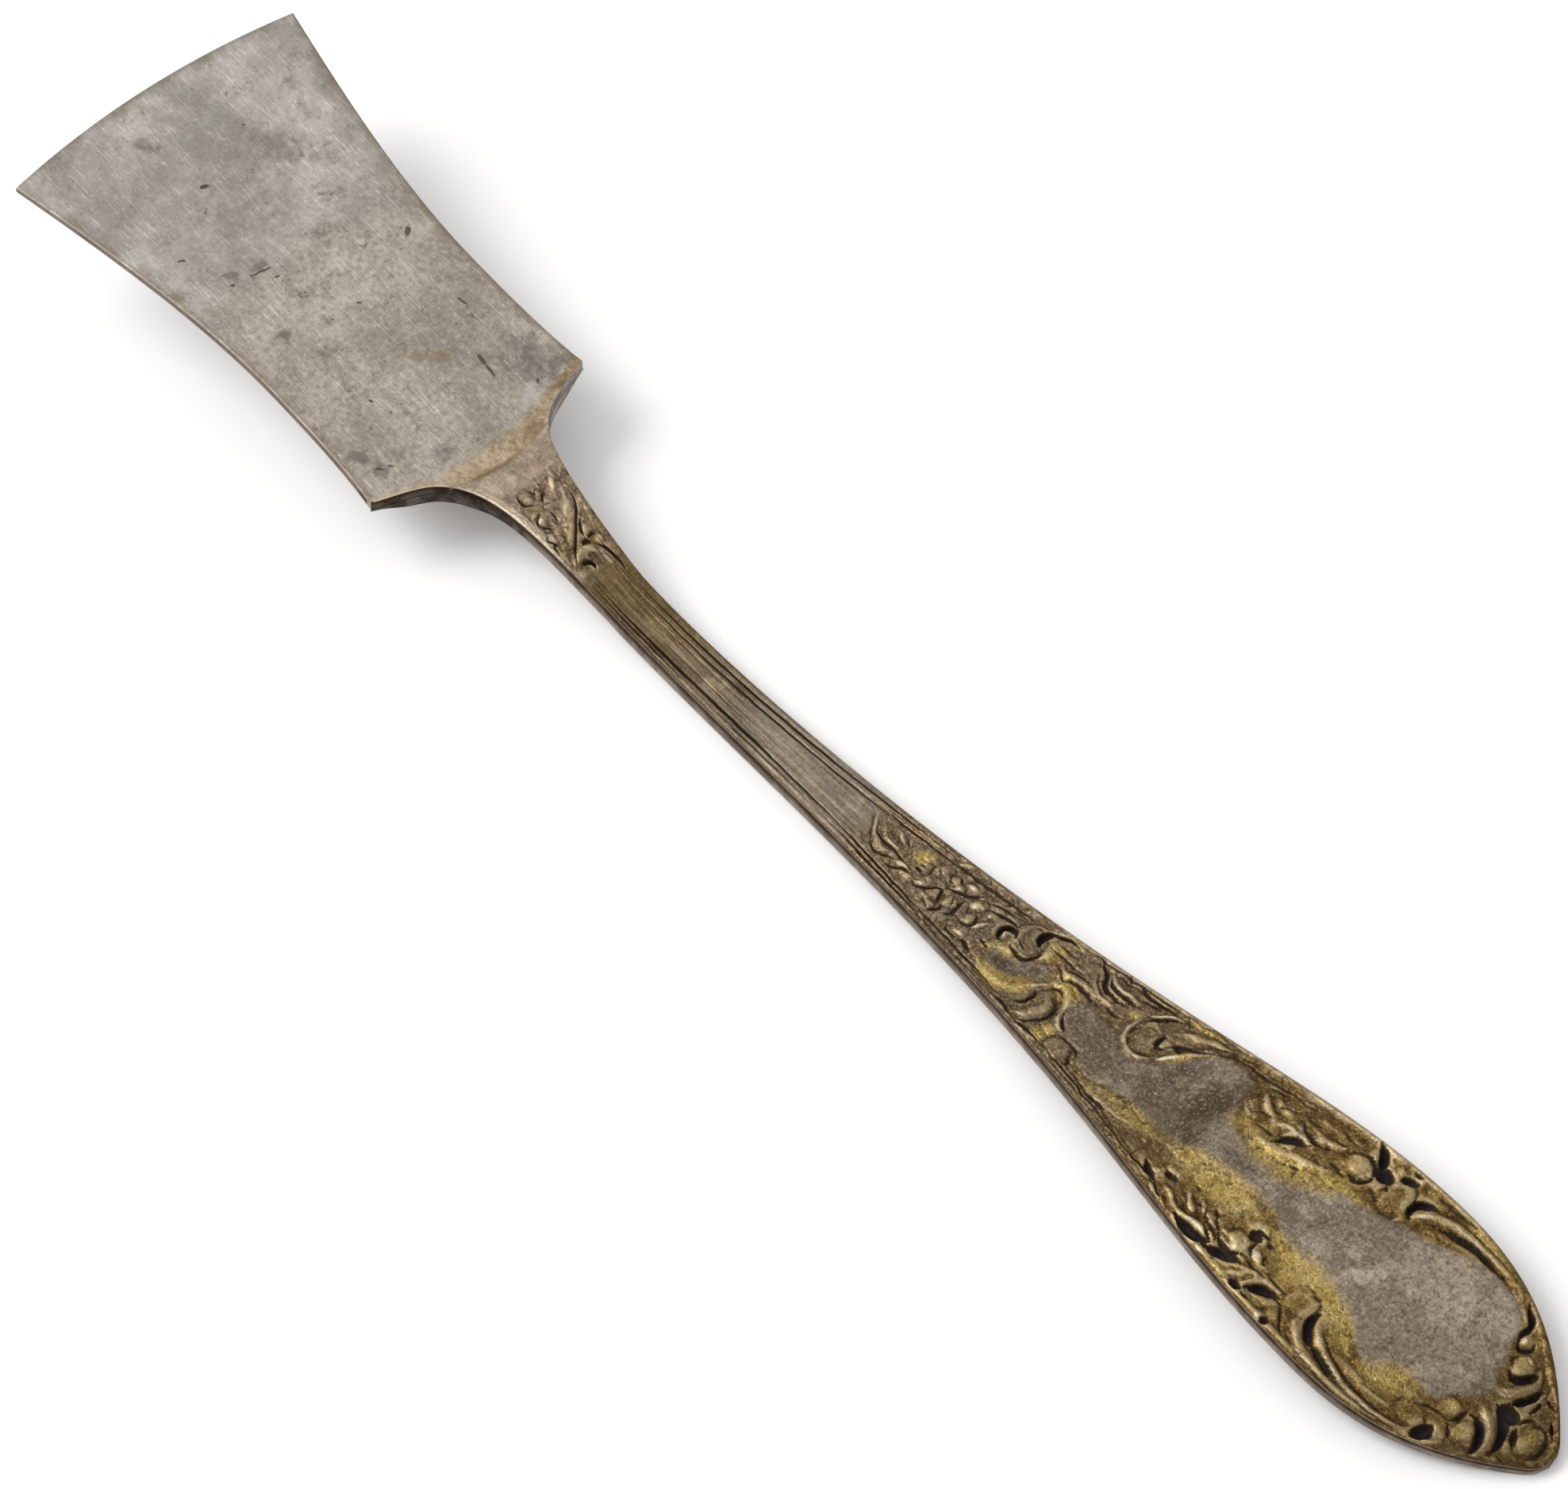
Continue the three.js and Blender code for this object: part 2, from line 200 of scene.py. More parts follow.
class Finish:
    """A material under construction, and the colour laid on it so far."""

    def __init__(self, name):
        self.open(bpy.data.materials.new(name), "Principled BSDF")
        self.where = self.node("ShaderNodeTexCoord", {}, {}, "Object")

    def open(self, made, shader):
        self.made = made
        made.use_nodes = True
        self.nodes = made.node_tree.nodes
        self.links = made.node_tree.links
        self.shader = self.nodes[shader]

    def node(self, kind, settings, inputs, output=0):
        made = self.nodes.new(kind)
        for key, value in settings.items():
            setattr(made, key, value)
        for key, value in inputs.items():
            self.plug(made.inputs[key], value)
        return Value(self, made.outputs[output])

    def plug(self, socket, value):
        if isinstance(value, Value):
            self.links.new(value.socket, socket)
        else:
            socket.default_value = value

    def blend(self, share, low, high):
        """A colour between two colours."""
        inputs = {0: share, 6: shade(low), 7: shade(high)}
        return self.node("ShaderNodeMix", {"data_type": "RGBA"}, inputs, 2)

    def over(self, share, colour):
        """Lays a colour over the finish's own, as thick as the share."""
        self.colour = self.blend(share, self.colour, colour)

    def fleck(self, base, noise, dark, light):
        """Dark flecks where the noise is high, light ones where it is low.

        Each is (where they start, where they are full, how strong, which colour).
        """
        for place, (low, high, strength, colour) in ((noise, dark), (1 - noise, light)):
            base = self.blend(place.between(low, high) * strength, base, colour)
        return base

    def painted(self, name):
        """A value that the mesh carries at its points."""
        return self.node("ShaderNodeAttribute", {"attribute_name": name}, {}, "Fac")

    def noise(self, scale, detail=4.0, roughness=0.55, distortion=0.0, shift=0.0, stretch=None):
        """Soft noise with this many waves to the metre."""
        at = self.where
        if shift or stretch:
            inputs = {"Vector": at, "Location": (shift, shift * 0.7, -shift)}
            if stretch:
                inputs["Scale"] = stretch
            at = self.node("ShaderNodeMapping", {}, inputs)
        return self.node("ShaderNodeTexNoise", {}, {
            "Vector": at, "Scale": scale, "Detail": detail, "Roughness": roughness,
            "Distortion": distortion})

    def wear(self, **sockets):
        """Sets or links the sockets of the shader, by their names with _ for a blank."""
        for name, value in sockets.items():
            self.plug(self.shader.inputs[name.replace("_", " ")], value)

    def dress(self, piece, roughness, height, relief, strength, metallic=METAL_SHARE):
        """Puts the finish on a piece as worn metal, with fine relief this many mm high."""
        inputs = {"Height": height, "Distance": relief * MM, "Strength": strength}
        self.wear(Base_Color=self.colour, Metallic=metallic, Roughness=roughness,
                  Specular_Tint=GRAZING_TINT, Normal=self.node("ShaderNodeBump", {}, inputs))
        piece.data.materials.append(self.made)
        print(self.made.name, "takes", len(self.nodes), "nodes")


print("mid grey is", round(shade((128, 128, 128))[0], 3), "in linear light")

# %% [markdown]
# ## Floor and light
#
# The photo is a plain catalogue shot on white. Metal shows what stands around it, so the world is
# a pale, soft gradient: a little brighter on the side the light comes from and a little darker on
# the other, as a light tent with one open side would be. One large lamp gives the soft shadow.
# The floor is white paint, and the sum of lamp and sky on it is close to 1, so colours come out
# about as they are written.

# %% Floor
FLOOR_HALF = 3.0
WHITE_PAINT = (0.97, 0.97, 0.97, 1)
floor_mesh = bpy.data.meshes.new("floor")
quarters = ((-1, -1), (1, -1), (1, 1), (-1, 1))
floor_mesh.from_pydata([(x * FLOOR_HALF, y * FLOOR_HALF, 0) for x, y in quarters], [], [(0, 1, 2, 3)])
floor = add_thing("floor", floor_mesh, (1, 0, 0), (0, 1, 0), (0, 0, 1), (0, 0, 0))
floor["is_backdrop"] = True
paint = Finish("white floor")
paint.wear(Base_Color=WHITE_PAINT, Roughness=0.9, Specular_IOR_Level=0.0)
floor_mesh.materials.append(paint.made)
print("floor is", 2 * FLOOR_HALF, "metres wide")

# %% World and lamp
SKY_LEVEL = 0.66
SKY_LEAN = 0.34
SKY_COLOUR = (1.0, 0.995, 0.985, 1)
LIGHT_FROM = (-0.62, -0.45, 0.64)
LAMP_PLACE = np.array([-0.42, -0.34, 0.62])
LAMP_SIZE = 0.45
LAMP_WATTS = 3.6


class Sky(Finish):
    """The world's nodes, written the same way as a material's."""

    def __init__(self, name):
        self.open(bpy.data.worlds.new(name), "Background")


sky = Sky("soft studio")
bpy.context.scene.world = sky.made
facing = sky.node("ShaderNodeTexCoord", {}, {}, "Generated")
towards = sky.node("ShaderNodeVectorMath", {"operation": "DOT_PRODUCT"},
                   {0: facing, 1: LIGHT_FROM}, "Value")
sky.wear(Color=SKY_COLOUR, Strength=SKY_LEVEL + SKY_LEAN * towards)

away = LAMP_PLACE / np.linalg.norm(LAMP_PLACE)
side = np.cross([0, 0, 1.0], away)
side /= np.linalg.norm(side)
lamp = add_thing("key lamp", bpy.data.lights.new("key lamp", "AREA"),
                 side, np.cross(away, side), away, LAMP_PLACE)
lamp.data.size = LAMP_SIZE
lamp.data.energy = LAMP_WATTS
print("world level", SKY_LEVEL, "lamp at", LAMP_PLACE.tolist(), "metres")

# %% [markdown]
# ## Lines of the drawing
#
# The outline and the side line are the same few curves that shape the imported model. They could be
# read off its facets, but a facet's corners are too coarse for ornament this fine. So the named
# sizes are repeated here, and numpy evaluates the curves at any number of places at once.

# %% Curve helpers
CURVE_POINTS = 2001


def mix(low, high, share):
    return low + (high - low) * share


def ease(share):
    share = np.clip(share, 0, 1)
    return share * share * (3 - 2 * share)


def hermite(x, x0, y0, slope0, x1, y1, slope1):
    """A curve that leaves one point and reaches another with the given slopes."""
    span = x1 - x0
    t = (x - x0) / span
    start = y0 * (1 + 2 * t) * (1 - t) ** 2 + slope0 * span * t * (1 - t) ** 2
    return start + y1 * t * t * (3 - 2 * t) + slope1 * span * t * t * (t - 1)


def bezier(knots, t):
    """Points of a curve that is pulled by its two middle knots."""
    a, b, c, d = (np.array(knot, float) for knot in knots)
    t = np.asarray(t, float)[..., None]
    return (1 - t) ** 3 * a + 3 * t * (1 - t) ** 2 * b + 3 * t * t * (1 - t) * c + t ** 3 * d


def height_on(knots, x):
    curve = bezier(knots, np.linspace(0, 1, CURVE_POINTS))
    return np.interp(x, curve[:, 0], curve[:, 1])


print("ease turns a quarter into", float(ease(0.25)), "and a half into", float(ease(0.5)))

# %% Named sizes of the blade, the neck and the handle
BLADE_LENGTH = 35.8
FRONT_BULGE = 1.2
SIDE_LEAN = 0.2
WAIST = (25.5, 8.65)
SHOULDER = (36.3, 9.1)
SHOULDER_LEAN = 0.12
HEEL_BOW = 1.9
FRONT_THICKNESS = 0.6
HEEL_THICKNESS = 0.8
FILM = 0.05
PALM_REACH = 5.0
PALM_LIP = 0.25
PALM_THICKNESS = 0.75
CREASE = 39.4
CREASE_STEP = 0.12
CREASE_ON_FLARE = 0.45
CROWN = (42.0, 0.35)
STEM = (52.0, 1.73)
DIP = (54.0, -0.9)
SWELL = (125.0, 7.38)
CREST = (127.0, 9.72)
TIP = 140.0
TIP_DROP = 0.5
NOSE_RADIUS = 1.9
NOSE_TURN = math.radians(46)
NOSE_CENTRE = TIP - NOSE_RADIUS
NOSE_START = (NOSE_CENTRE + NOSE_RADIUS * math.cos(NOSE_TURN), NOSE_RADIUS * math.sin(NOSE_TURN))
NECK_THICKNESS = 1.9
STEM_THICKNESS = 2.1
END_THICKNESS = 1.9
TIP_THICKNESS = 1.35

FLARE_LINE = (SHOULDER, (38.15, 4.15), (37.0, 2.47), STEM)
SWELL_LINE = (STEM, (102.0, 1.73), (109.0, 7.38), SWELL)
CHEEK_LINE = (SWELL, (131.2, 7.38),
              (NOSE_START[0] - 6 * math.sin(NOSE_TURN), NOSE_START[1] + 6 * math.cos(NOSE_TURN)),
              NOSE_START)
LIFT_LINE = (DIP, (72.0, -0.9), (109.5, 9.72), CREST)


def blade_half(x):
    near = hermite(x, 0, BLADE_FRONT_HALF, -SIDE_LEAN, *WAIST, 0)
    far = hermite(x, *WAIST, 0, *SHOULDER, SHOULDER_LEAN)
    return np.where(x < WAIST[0], near, far)


def handle_half(x):
    """Half width of the handle from the neck on."""
    near = height_on(FLARE_LINE, x)
    middle = height_on(SWELL_LINE, x)
    far = height_on(CHEEK_LINE, x)
    return np.where(x < STEM[0], near, np.where(x < SWELL[0], middle, far))


def top_line(x):
    """Height of the handle's top along its middle."""
    neck = hermite(x, CREASE, CREASE_STEP, 0.1, *CROWN, 0)
    fall = mix(CROWN[1], DIP[1], ease((x - CROWN[0]) / (DIP[0] - CROWN[0])))
    lift = height_on(LIFT_LINE, x)
    end = CREST[1] - TIP_DROP * ((x - CREST[0]) / (TIP - CREST[0])) ** 2
    return np.select([x < CROWN[0], x < DIP[0], x < CREST[0]], [neck, fall, lift], end)


def metal_thickness(x):
    neck = mix(NECK_THICKNESS, STEM_THICKNESS, ease((x - CROWN[0]) / (STEM[0] - CROWN[0])))
    stem = mix(STEM_THICKNESS, END_THICKNESS, (x - STEM[0]) / (SWELL[0] - STEM[0]))
    end = mix(END_THICKNESS, TIP_THICKNESS, ease((x - SWELL[0]) / (TIP - SWELL[0])))
    return np.select([x < STEM[0], x < SWELL[0]], [neck, stem], end)


print("nose starts at", [round(float(c), 3) for c in NOSE_START], "mm")

# %% [markdown]
# ## Skins
#
# Each piece is a strip of closed rings, one ring after another along the spoon. A ring runs
# across the top, down the wall, back under the bottom and up again. Rings could be lofted with a
# curve object, but then the top couldn't carry ornament. Here a ring is a row of points, so every
# point can have its own height and its own painted values.

# %% Closed strips of rings
WALL_FOOT = 0.5


def close_end(first_ring, top_count, flip):
    """Triangles between the top run and the bottom run of one ring."""
    ring = len(first_ring)
    top = list(range(top_count))
    low = [0] + list(range(ring - 1, top_count - 1, -1)) + [top_count - 1]
    faces = []
    i = j = 0
    while i < len(top) - 1 or j < len(low) - 1:
        by_top = (i + 1) / (len(top) - 1) <= (j + 1) / (len(low) - 1)
        if (by_top and i < len(top) - 1) or j == len(low) - 1:
            face = (top[i], top[i + 1], low[j])
            i += 1
        else:
            face = (top[i], low[j + 1], low[j])
            j += 1
        if len(set(face)) == 3:
            faces.append(face[::-1] if flip else face)
    return [tuple(first_ring[k] for k in face) for face in faces]


def skin(name, top, under, paint_values):
    """A piece from rows of top points and rows of bottom points, both of one count of rows."""
    rows, top_count = top.shape[:2]
    rings = np.concatenate([top, under[:, ::-1]], axis=1)
    count = rings.shape[1]
    at = np.arange(rows * count).reshape(rows, count)
    after = np.roll(at, -1, axis=1)
    faces = np.stack([at[:-1], at[1:], after[1:], after[:-1]], axis=-1).reshape(-1, 4).tolist()
    faces += close_end(at[0].tolist(), top_count, True)
    faces += close_end(at[-1].tolist(), top_count, False)
    mesh = bpy.data.meshes.new(name)
    mesh.from_pydata(rings.reshape(-1, 3).tolist(), [], faces)
    mesh.update()
    for key, value in paint_values.items():
        full = np.zeros((rows, count))
        full[:, :top_count] = value
        if key == "wall":
            # the painted shade of a wall goes on round its lower edge, no stronger than it is above
            above = full[:, [top_count - 1] * 3 + [0] * 3]
            foot = np.where(above > 0, np.minimum(WALL_FOOT, above), WALL_FOOT)
            full[:, [top_count, top_count + 1, top_count + 2, -3, -2, -1]] = foot
        layer = mesh.attributes.new(key, "FLOAT", "POINT")
        layer.data.foreach_set("value", full.ravel().astype(np.float32))
    mesh.shade_smooth()
    pairs = np.zeros(2 * len(mesh.edges), np.int32)
    mesh.edges.foreach_get("vertices", pairs)
    row, column = np.divmod(pairs.reshape(-1, 2), count)
    on_rim = (column[:, 0] == column[:, 1]) & np.isin(column[:, 0], (0, top_count - 1))
    on_end = (row[:, 0] == row[:, 1]) & np.isin(row[:, 0], (0, rows - 1))
    sharp = mesh.attributes.new("sharp_edge", "BOOLEAN", "EDGE")
    sharp.data.foreach_set("value", on_rim | on_end)
    piece = bpy.data.objects.new(name, mesh)
    bpy.context.scene.collection.objects.link(piece)
    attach(piece, "root")
    print(name, "has", rows, "rings of", count, "points")
    return piece


def round_over(distance, radius):
    """How far a rounded edge has dropped at this distance from the outline."""
    inward = np.clip(distance / radius, 0, 1)
    return radius * (1 - np.sqrt(1 - (1 - inward) ** 2))


def columns(middle_count, insets):
    """Shares from -1 to 1 plus absolute insets from the edge, as two arrays."""
    edge = insets[:-1]
    ends = np.ones(len(edge))
    share = np.concatenate([-ends, np.linspace(-1, 1, middle_count), ends])
    inset = np.concatenate([edge, np.full(middle_count, insets[-1]), edge[::-1]])
    return share, inset


# %% [markdown]
# ## Marks
#
# A die cutter draws ornament as strokes: a scroll is one swelling line, a leaf is a fan of them.
# The same is done here. A stroke is a smooth line through a few points with a half width and a
# height, and it tapers at its ends. Image-based height maps would be quicker, but a stroke
# keeps its shape at any mesh density and can be moved by changing one number.

# %% Strokes and bosses
TAPER = 0.35
THIN_END = 0.25
MOAT_PLACE = 1.05
MOAT_HALF = 0.12
MOAT_MARGIN = 1.4


def trace(text):
    """Smooth points through 'x y, x y, ...'."""
    knots = np.array([[float(n) for n in pair.split()] for pair in text.split(",")])
    ends = np.vstack([2 * knots[0] - knots[1], knots, 2 * knots[-1] - knots[-2]])
    t = np.linspace(0, 1, 7)[:-1, None]
    runs = []
    for a, b, c, d in zip(ends, ends[1:], ends[2:], ends[3:]):
        bend = (2 * a - 5 * b + 4 * c - d) * t * t + (3 * b - a - 3 * c + d) * t ** 3
        runs.append((2 * b + (c - a) * t + bend) / 2)
    return np.vstack(runs + [knots[-1:]])


def rumple(x, y, size, seed):
    """Smooth random heights from -1 to 1, with hills about one size apart."""
    u = (x - x.min()) / size
    v = (y - y.min()) / size
    hills = np.random.default_rng(seed).uniform(-1, 1, (int(u.max()) + 2, int(v.max()) + 2))
    i = u.astype(int)
    j = v.astype(int)
    near_side = mix(hills[i, j], hills[i + 1, j], ease(u - i))
    far_side = mix(hills[i, j + 1], hills[i + 1, j + 1], ease(u - i))
    return mix(near_side, far_side, ease(v - j))


class Ground:
    """The places of a top surface, on which strokes leave their marks."""

    def __init__(self, x, y, wobble=0.0):
        self.x = x
        self.y = y
        self.flat_x = (x + wobble * rumple(x, y, 0.7, 1)).ravel()
        self.flat_y = (y + wobble * rumple(x, y, 0.7, 2)).ravel()

    def blank(self, value=0.0):
        return np.full(self.x.shape, value)

    def near(self, low_x, high_x, low_y, high_y):
        in_x = (self.flat_x > low_x) & (self.flat_x < high_x)
        return np.nonzero(in_x & (self.flat_y > low_y) & (self.flat_y < high_y))[0]

    def stroke(self, layer, text, half, height=1.0):
        """Raises the layer to a rounded line with tapered ends."""
        line = trace(text) if isinstance(text, str) else text
        low = line.min(axis=0) - half
        high = line.max(axis=0) + half
        where = self.near(low[0], high[0], low[1], high[1])
        if not len(where):
            return
        start = line[:-1]
        step = line[1:] - start
        length = np.hypot(step[:, 0], step[:, 1])
        begun = np.concatenate([[0], np.cumsum(length)])
        dx = self.flat_x[where, None] - start[:, 0]
        dy = self.flat_y[where, None] - start[:, 1]
        t = np.clip((dx * step[:, 0] + dy * step[:, 1]) / length ** 2, 0, 1)
        gap = np.hypot(dx - t * step[:, 0], dy - t * step[:, 1])
        pick = gap.argmin(axis=1)
        index = np.arange(len(where))
        way = (begun[pick] + t[index, pick] * length[pick]) / begun[-1]
        swell = mix(THIN_END, 1, ease(way / TAPER)) * mix(THIN_END, 1, ease((1 - way) / TAPER))
        share = np.clip(1 - (gap[index, pick] / (half * swell)) ** 2, 0, 1)
        self.lift(layer, where, height * share * np.sqrt(swell))

    def lift(self, layer, where, height):
        """Lifts these points of the layer at least this high."""
        flat = layer.reshape(-1)
        flat[where] = np.maximum(flat[where], height)

    def oval(self, x, y, rx, ry, turn, margin=1.0):
        """The points near a turned oval, and how far out each one is: 1 is on the oval."""
        reach = max(rx, ry) * margin
        where = self.near(x - reach, x + reach, y - reach, y + reach)
        c = math.cos(math.radians(turn))
        s = math.sin(math.radians(turn))
        dx = self.flat_x[where] - x
        dy = self.flat_y[where] - y
        return where, np.hypot((dx * c + dy * s) / rx, (dy * c - dx * s) / ry)

    def boss(self, layer, x, y, rx, ry, height=1.0, turn=0.0, power=0.7):
        """Raises the layer to a rounded oval, turned by so many degrees."""
        where, out = self.oval(x, y, rx, ry, turn)
        self.lift(layer, where, height * np.clip(1 - out ** 2, 0, 1) ** power)

    def moat(self, layer, x, y, rx, ry, depth, turn=0.0):
        """A fine cut line round an oval, broken here and there."""
        where, out = self.oval(x, y, rx, ry, turn, MOAT_MARGIN)
        gap = (out - MOAT_PLACE) * min(rx, ry) / MOAT_HALF
        broken = np.clip(0.6 + rumple(self.flat_x[where], self.flat_y[where], 0.9, 3), 0, 1)
        self.lift(layer, where, depth * broken * np.clip(1 - gap ** 2, 0, 1))

    def strokes(self, layer, lines):
        """Strokes from 'half height: x y, x y' lines. A blank at its start carries a line on."""
        for line in lines.strip().replace("\n ", " ").splitlines():
            size, path = line.split(":")
            self.stroke(layer, path, *map(float, size.split()))

    def bosses(self, layer, lines, **settings):
        """Ovals from 'x y rx ry height turn' lines."""
        for line in lines.strip().splitlines():
            self.boss(layer, *map(float, line.split()), **settings)


def soften(grid, rows, cols):
    """The grid with neighbours averaged over so many rows and columns each way."""
    for axis, reach in ((0, rows), (1, cols)):
        wide = np.pad(grid, [(reach, reach) if axis == k else (0, 0) for k in (0, 1)], mode="edge")
        total = np.cumsum(wide, axis=axis)
        total = np.concatenate([np.zeros_like(total.take([0], axis)), total], axis)
        span = 2 * reach + 1
        size = grid.shape[axis]
        grid = (total.take(range(span, span + size), axis) - total.take(range(size), axis)) / span
    return grid


print("a stroke through 3 points has", len(trace("0 0, 1 1, 2 0")), "points of its own")

# %% [markdown]
# ## Blade
#
# The blade is a rolled sheet, thinner at the front, cut with a bowed front edge and drawn-in
# sides. Its edges are rubbed round by use and its face is never quite flat. It could stay the
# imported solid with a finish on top, but sharp edges give the solid away, so it is rebuilt with
# small round edges and very shallow waves, inside the same outline.

# %% Blade shape
BLADE_EDGE = 0.13
BLADE_COLUMNS = 168
BLADE_ROWS = 290
BLADE_UNDER_COLUMNS = 9
FIRST_ROW = 0.23
blade_insets = np.array([0, 0.012, 0.035, 0.07, 0.11, 0.16])
share_across, inset_across = columns(BLADE_COLUMNS, blade_insets)
even_rows = np.linspace(FIRST_ROW / BLADE_LENGTH, 1, BLADE_ROWS)
rows_along = np.concatenate([blade_insets / BLADE_LENGTH, even_rows])[:, None]
edge_x = rows_along * BLADE_LENGTH
bow = mix(-FRONT_BULGE, HEEL_BOW, rows_along)
half = blade_half(edge_x)
blade_y = share_across * (half - inset_across)
blade_x = edge_x + bow * (1 - (blade_y / half) ** 2)
from_side = half - np.abs(blade_y)
from_front = edge_x + 0 * blade_y
from_outline = np.minimum(from_side, from_front)
face = Ground(blade_x, blade_y)


def waves(x, y):
    """Very shallow unevenness of a hand-finished sheet, in millimetres."""
    long_wave = np.sin(x * 0.42 + 1.1) * np.cos(y * 0.36 - 0.4)
    long_wave += 0.6 * np.sin(x * 0.23 - y * 0.31)
    short_wave = np.sin(x * 1.35 + y * 0.9) * np.sin(y * 1.2 - 0.7)
    return 0.016 * long_wave + 0.004 * short_wave


flat_near_edges = ease(from_outline / 2) * ease((BLADE_LENGTH - edge_x) / 3)
blade_top = waves(blade_x, blade_y) * flat_near_edges - round_over(from_outline, BLADE_EDGE)
thick = mix(FRONT_THICKNESS, HEEL_THICKNESS, rows_along)
under_share, under_inset = columns(BLADE_UNDER_COLUMNS, np.array([0, 0.02, 0.06, 0.13]))
under_y = under_share * (half - under_inset)
under_x = edge_x + bow * (1 - (under_y / half) ** 2)
under_gap = np.minimum(half - np.abs(under_y), from_front[:, :1])
blade_under = -thick + round_over(under_gap, BLADE_EDGE)
print("blade's waves reach", round(float(blade_top.max()), 3), "mm above its plane")

# %% [markdown]
# The blade's heel, the braze and the neck read as one surface in the photo: a soft brassy band
# crosses the seam, and only a dark line of grime and painted shade marks the crease. Each piece
# has its own finish, so the band is worked out here once, from the heel line and the crease line,
# and painted on all three.

# %% Heel line, crease line and the band between
crease_edge = bezier(FLARE_LINE, CREASE_ON_FLARE)
CREASE_BOW = CREASE - crease_edge[0]
CREASE_PAST = 0.22
CREASE_WIDTH = 0.27


def heel_line(y):
    return BLADE_LENGTH + HEEL_BOW * (1 - (y / blade_half(BLADE_LENGTH)) ** 2)


def crease_line(y):
    return crease_edge[0] + CREASE_BOW * (1 - (y / crease_edge[1]) ** 2)


def seam_paint(x, y):
    """Painted values round the seam: how brassy, how dark in the crease, how far on the neck."""
    place = (x - heel_line(y)) / np.maximum(crease_line(y) - heel_line(y), 0.3)
    place = place + 0.35 * ease((y - 2) / 5) * (place < 0.7)
    band = ease((place + 0.5) / 0.95) * (1 - ease((place - 0.9) / 0.4))
    crease = np.exp(-((x - crease_line(y) - CREASE_PAST) / CREASE_WIDTH) ** 2)
    return {"golden": band * np.interp(y, (-8, -5, -3.5, 4, 8.5), (0.5, 0.6, 1, 1, 0.95)),
            "crease": crease * ease((y + 3.4) / 1.2) * (1 - ease((y - 0.2) / 1.8)),
            "far": ease((y - 0.5) / 6),
            "neckward": ease((place - 0.7) / 0.35) * (np.abs(y) < crease_edge[1] + 0.3)}


print("in the middle the heel is at %.1f mm and the crease at %.1f mm" % (heel_line(0), crease_line(0)))

# %% [markdown]
# The blade's marks are the ones a spoon collects: stains where the plate has gone dull, a few
# pits, scratches, and a brassy streak where the plate is rubbed through. Each is a soft stroke on
# its own painted value, so that the finish can give every kind of mark its own colour.

# %% Blade marks
# how far in from the outline the painted wall shade reaches, and its weaker share on the blade's near
# sides
WALL_PAINT = 0.012
NEAR_WALL = 0.2
NEAR_WALL_END = 34.6
cloudy_face = Ground(blade_x, blade_y, 0.3)
stain = face.blank()
cloudy_face.bosses(stain, """
8.5 4 2.6 1.7 .8 20
2.6 -3.2 1.1 .7 .8
8.2 -1.8 .6 .4 1
15.4 -5 .9 .6 1.1 30
16.1 -3 .5 1.1 1.2 -12
21.8 -5.2 .9 .7 .9 10
18.3 4.1 .8 .6 .8 40
11.5 6.5 2.5 1.2 .35
5.5 8.2 2.6 1.1 .35
32.8 -7.5 1.2 .8 1.1 30
34.7 -6.8 .7 .9 1 20
24.8 -4 1.5 1.1 .55
34.6 -5.3 .9 .5 .6 -20
11.5 -1 .9 .5 .5 30
29.8 -4 .5 .25 .8
32.2 -2.5 .35 .2 .7
13 4.5 2 1.2 .35
24.5 1.5 2.4 1.4 .25
33 .3 2.6 .5 .4 -12
17.5 0 7 9 .28
""", power=1.0)
nick = face.blank()
face.strokes(nick, """
.24: 20.45 6.2, 20.15 6.6, 19.75 6.95
.1: 16.2 -4.2, 16.4 -3.5, 16.6 -2.3
.13: 16.1 -5.6, 16.2 -5.2
.1: 26.5 5.75, 27 5.85, 27.7 5.95
.19: 31.2 3.95, 31.9 3.88, 32.5 3.82
.12: 32 3.87, 33 3.77, 33.8 3.68
.2: 8.1 -2.3, 8.3 -1.6
.1: 17.4 -2.9, 17.6 -2.3
.09: 22.6 .2, 22.9 .5
.09: 12.1 -7.3, 12.4 -6.6
.08: 5.6 3.2, 5.8 3.6
.12: 29.6 -4.05, 29.9 -3.95
.12: 34.3 -7.1, 34.7 -6.7
.1: 34.6 -6.4, 34.9 -6
.12: 35.4 5.9, 35.8 5.6
""")
brass = face.blank()
cloudy_face.strokes(brass, ".65 .9: 27.9 -.9, 28.4 0, 29.2 1.2, 29.9 2.2, 30.6 3.4")
bare = face.blank()
cloudy_face.strokes(bare, ".6 .9: 36.1 3.9, 36 4.8, 35.7 5.5")


def bluing_on(ground):
    """Heat tint beside the braze."""
    tint = ground.blank()
    ground.bosses(tint, "34.2 6.4 4 2.9 .95 15", power=1.3)
    ground.bosses(tint, "34.4 6.6 1.7 1.3 1 40", power=1.0)
    ground.bosses(tint, "36.2 -3.6 1.3 2.6 .5", power=1.3)
    return tint


near_wall = mix(NEAR_WALL, 1, ease(edge_x - NEAR_WALL_END))
blade_paint = {
    "stain": stain,
    "nick": nick,
    "brass": brass,
    "bare": bare,
    "bluing": bluing_on(cloudy_face),
    "rim": np.exp(-np.maximum(from_outline, 0) / 0.8),
    "heelward": ease((blade_x - 6) / 20),
    "wall": np.clip(1 - from_outline / WALL_PAINT, 0, 1) * near_wall,
    **seam_paint(blade_x, blade_y),
}
blade = skin("pate_blade", lay(blade_x, blade_y, blade_top), lay(under_x, under_y, blade_under),
             blade_paint)
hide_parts("blade")

# %% [markdown]
# ## Braze
#
# Brassy filler fills the crease where the blade's heel meets the step of the neck, from shoulder
# to shoulder. Molten filler wets both sides, so its top is a little hollow and thins out over
# them. It is modelled as a separate crescent, so that it can have its own finish.

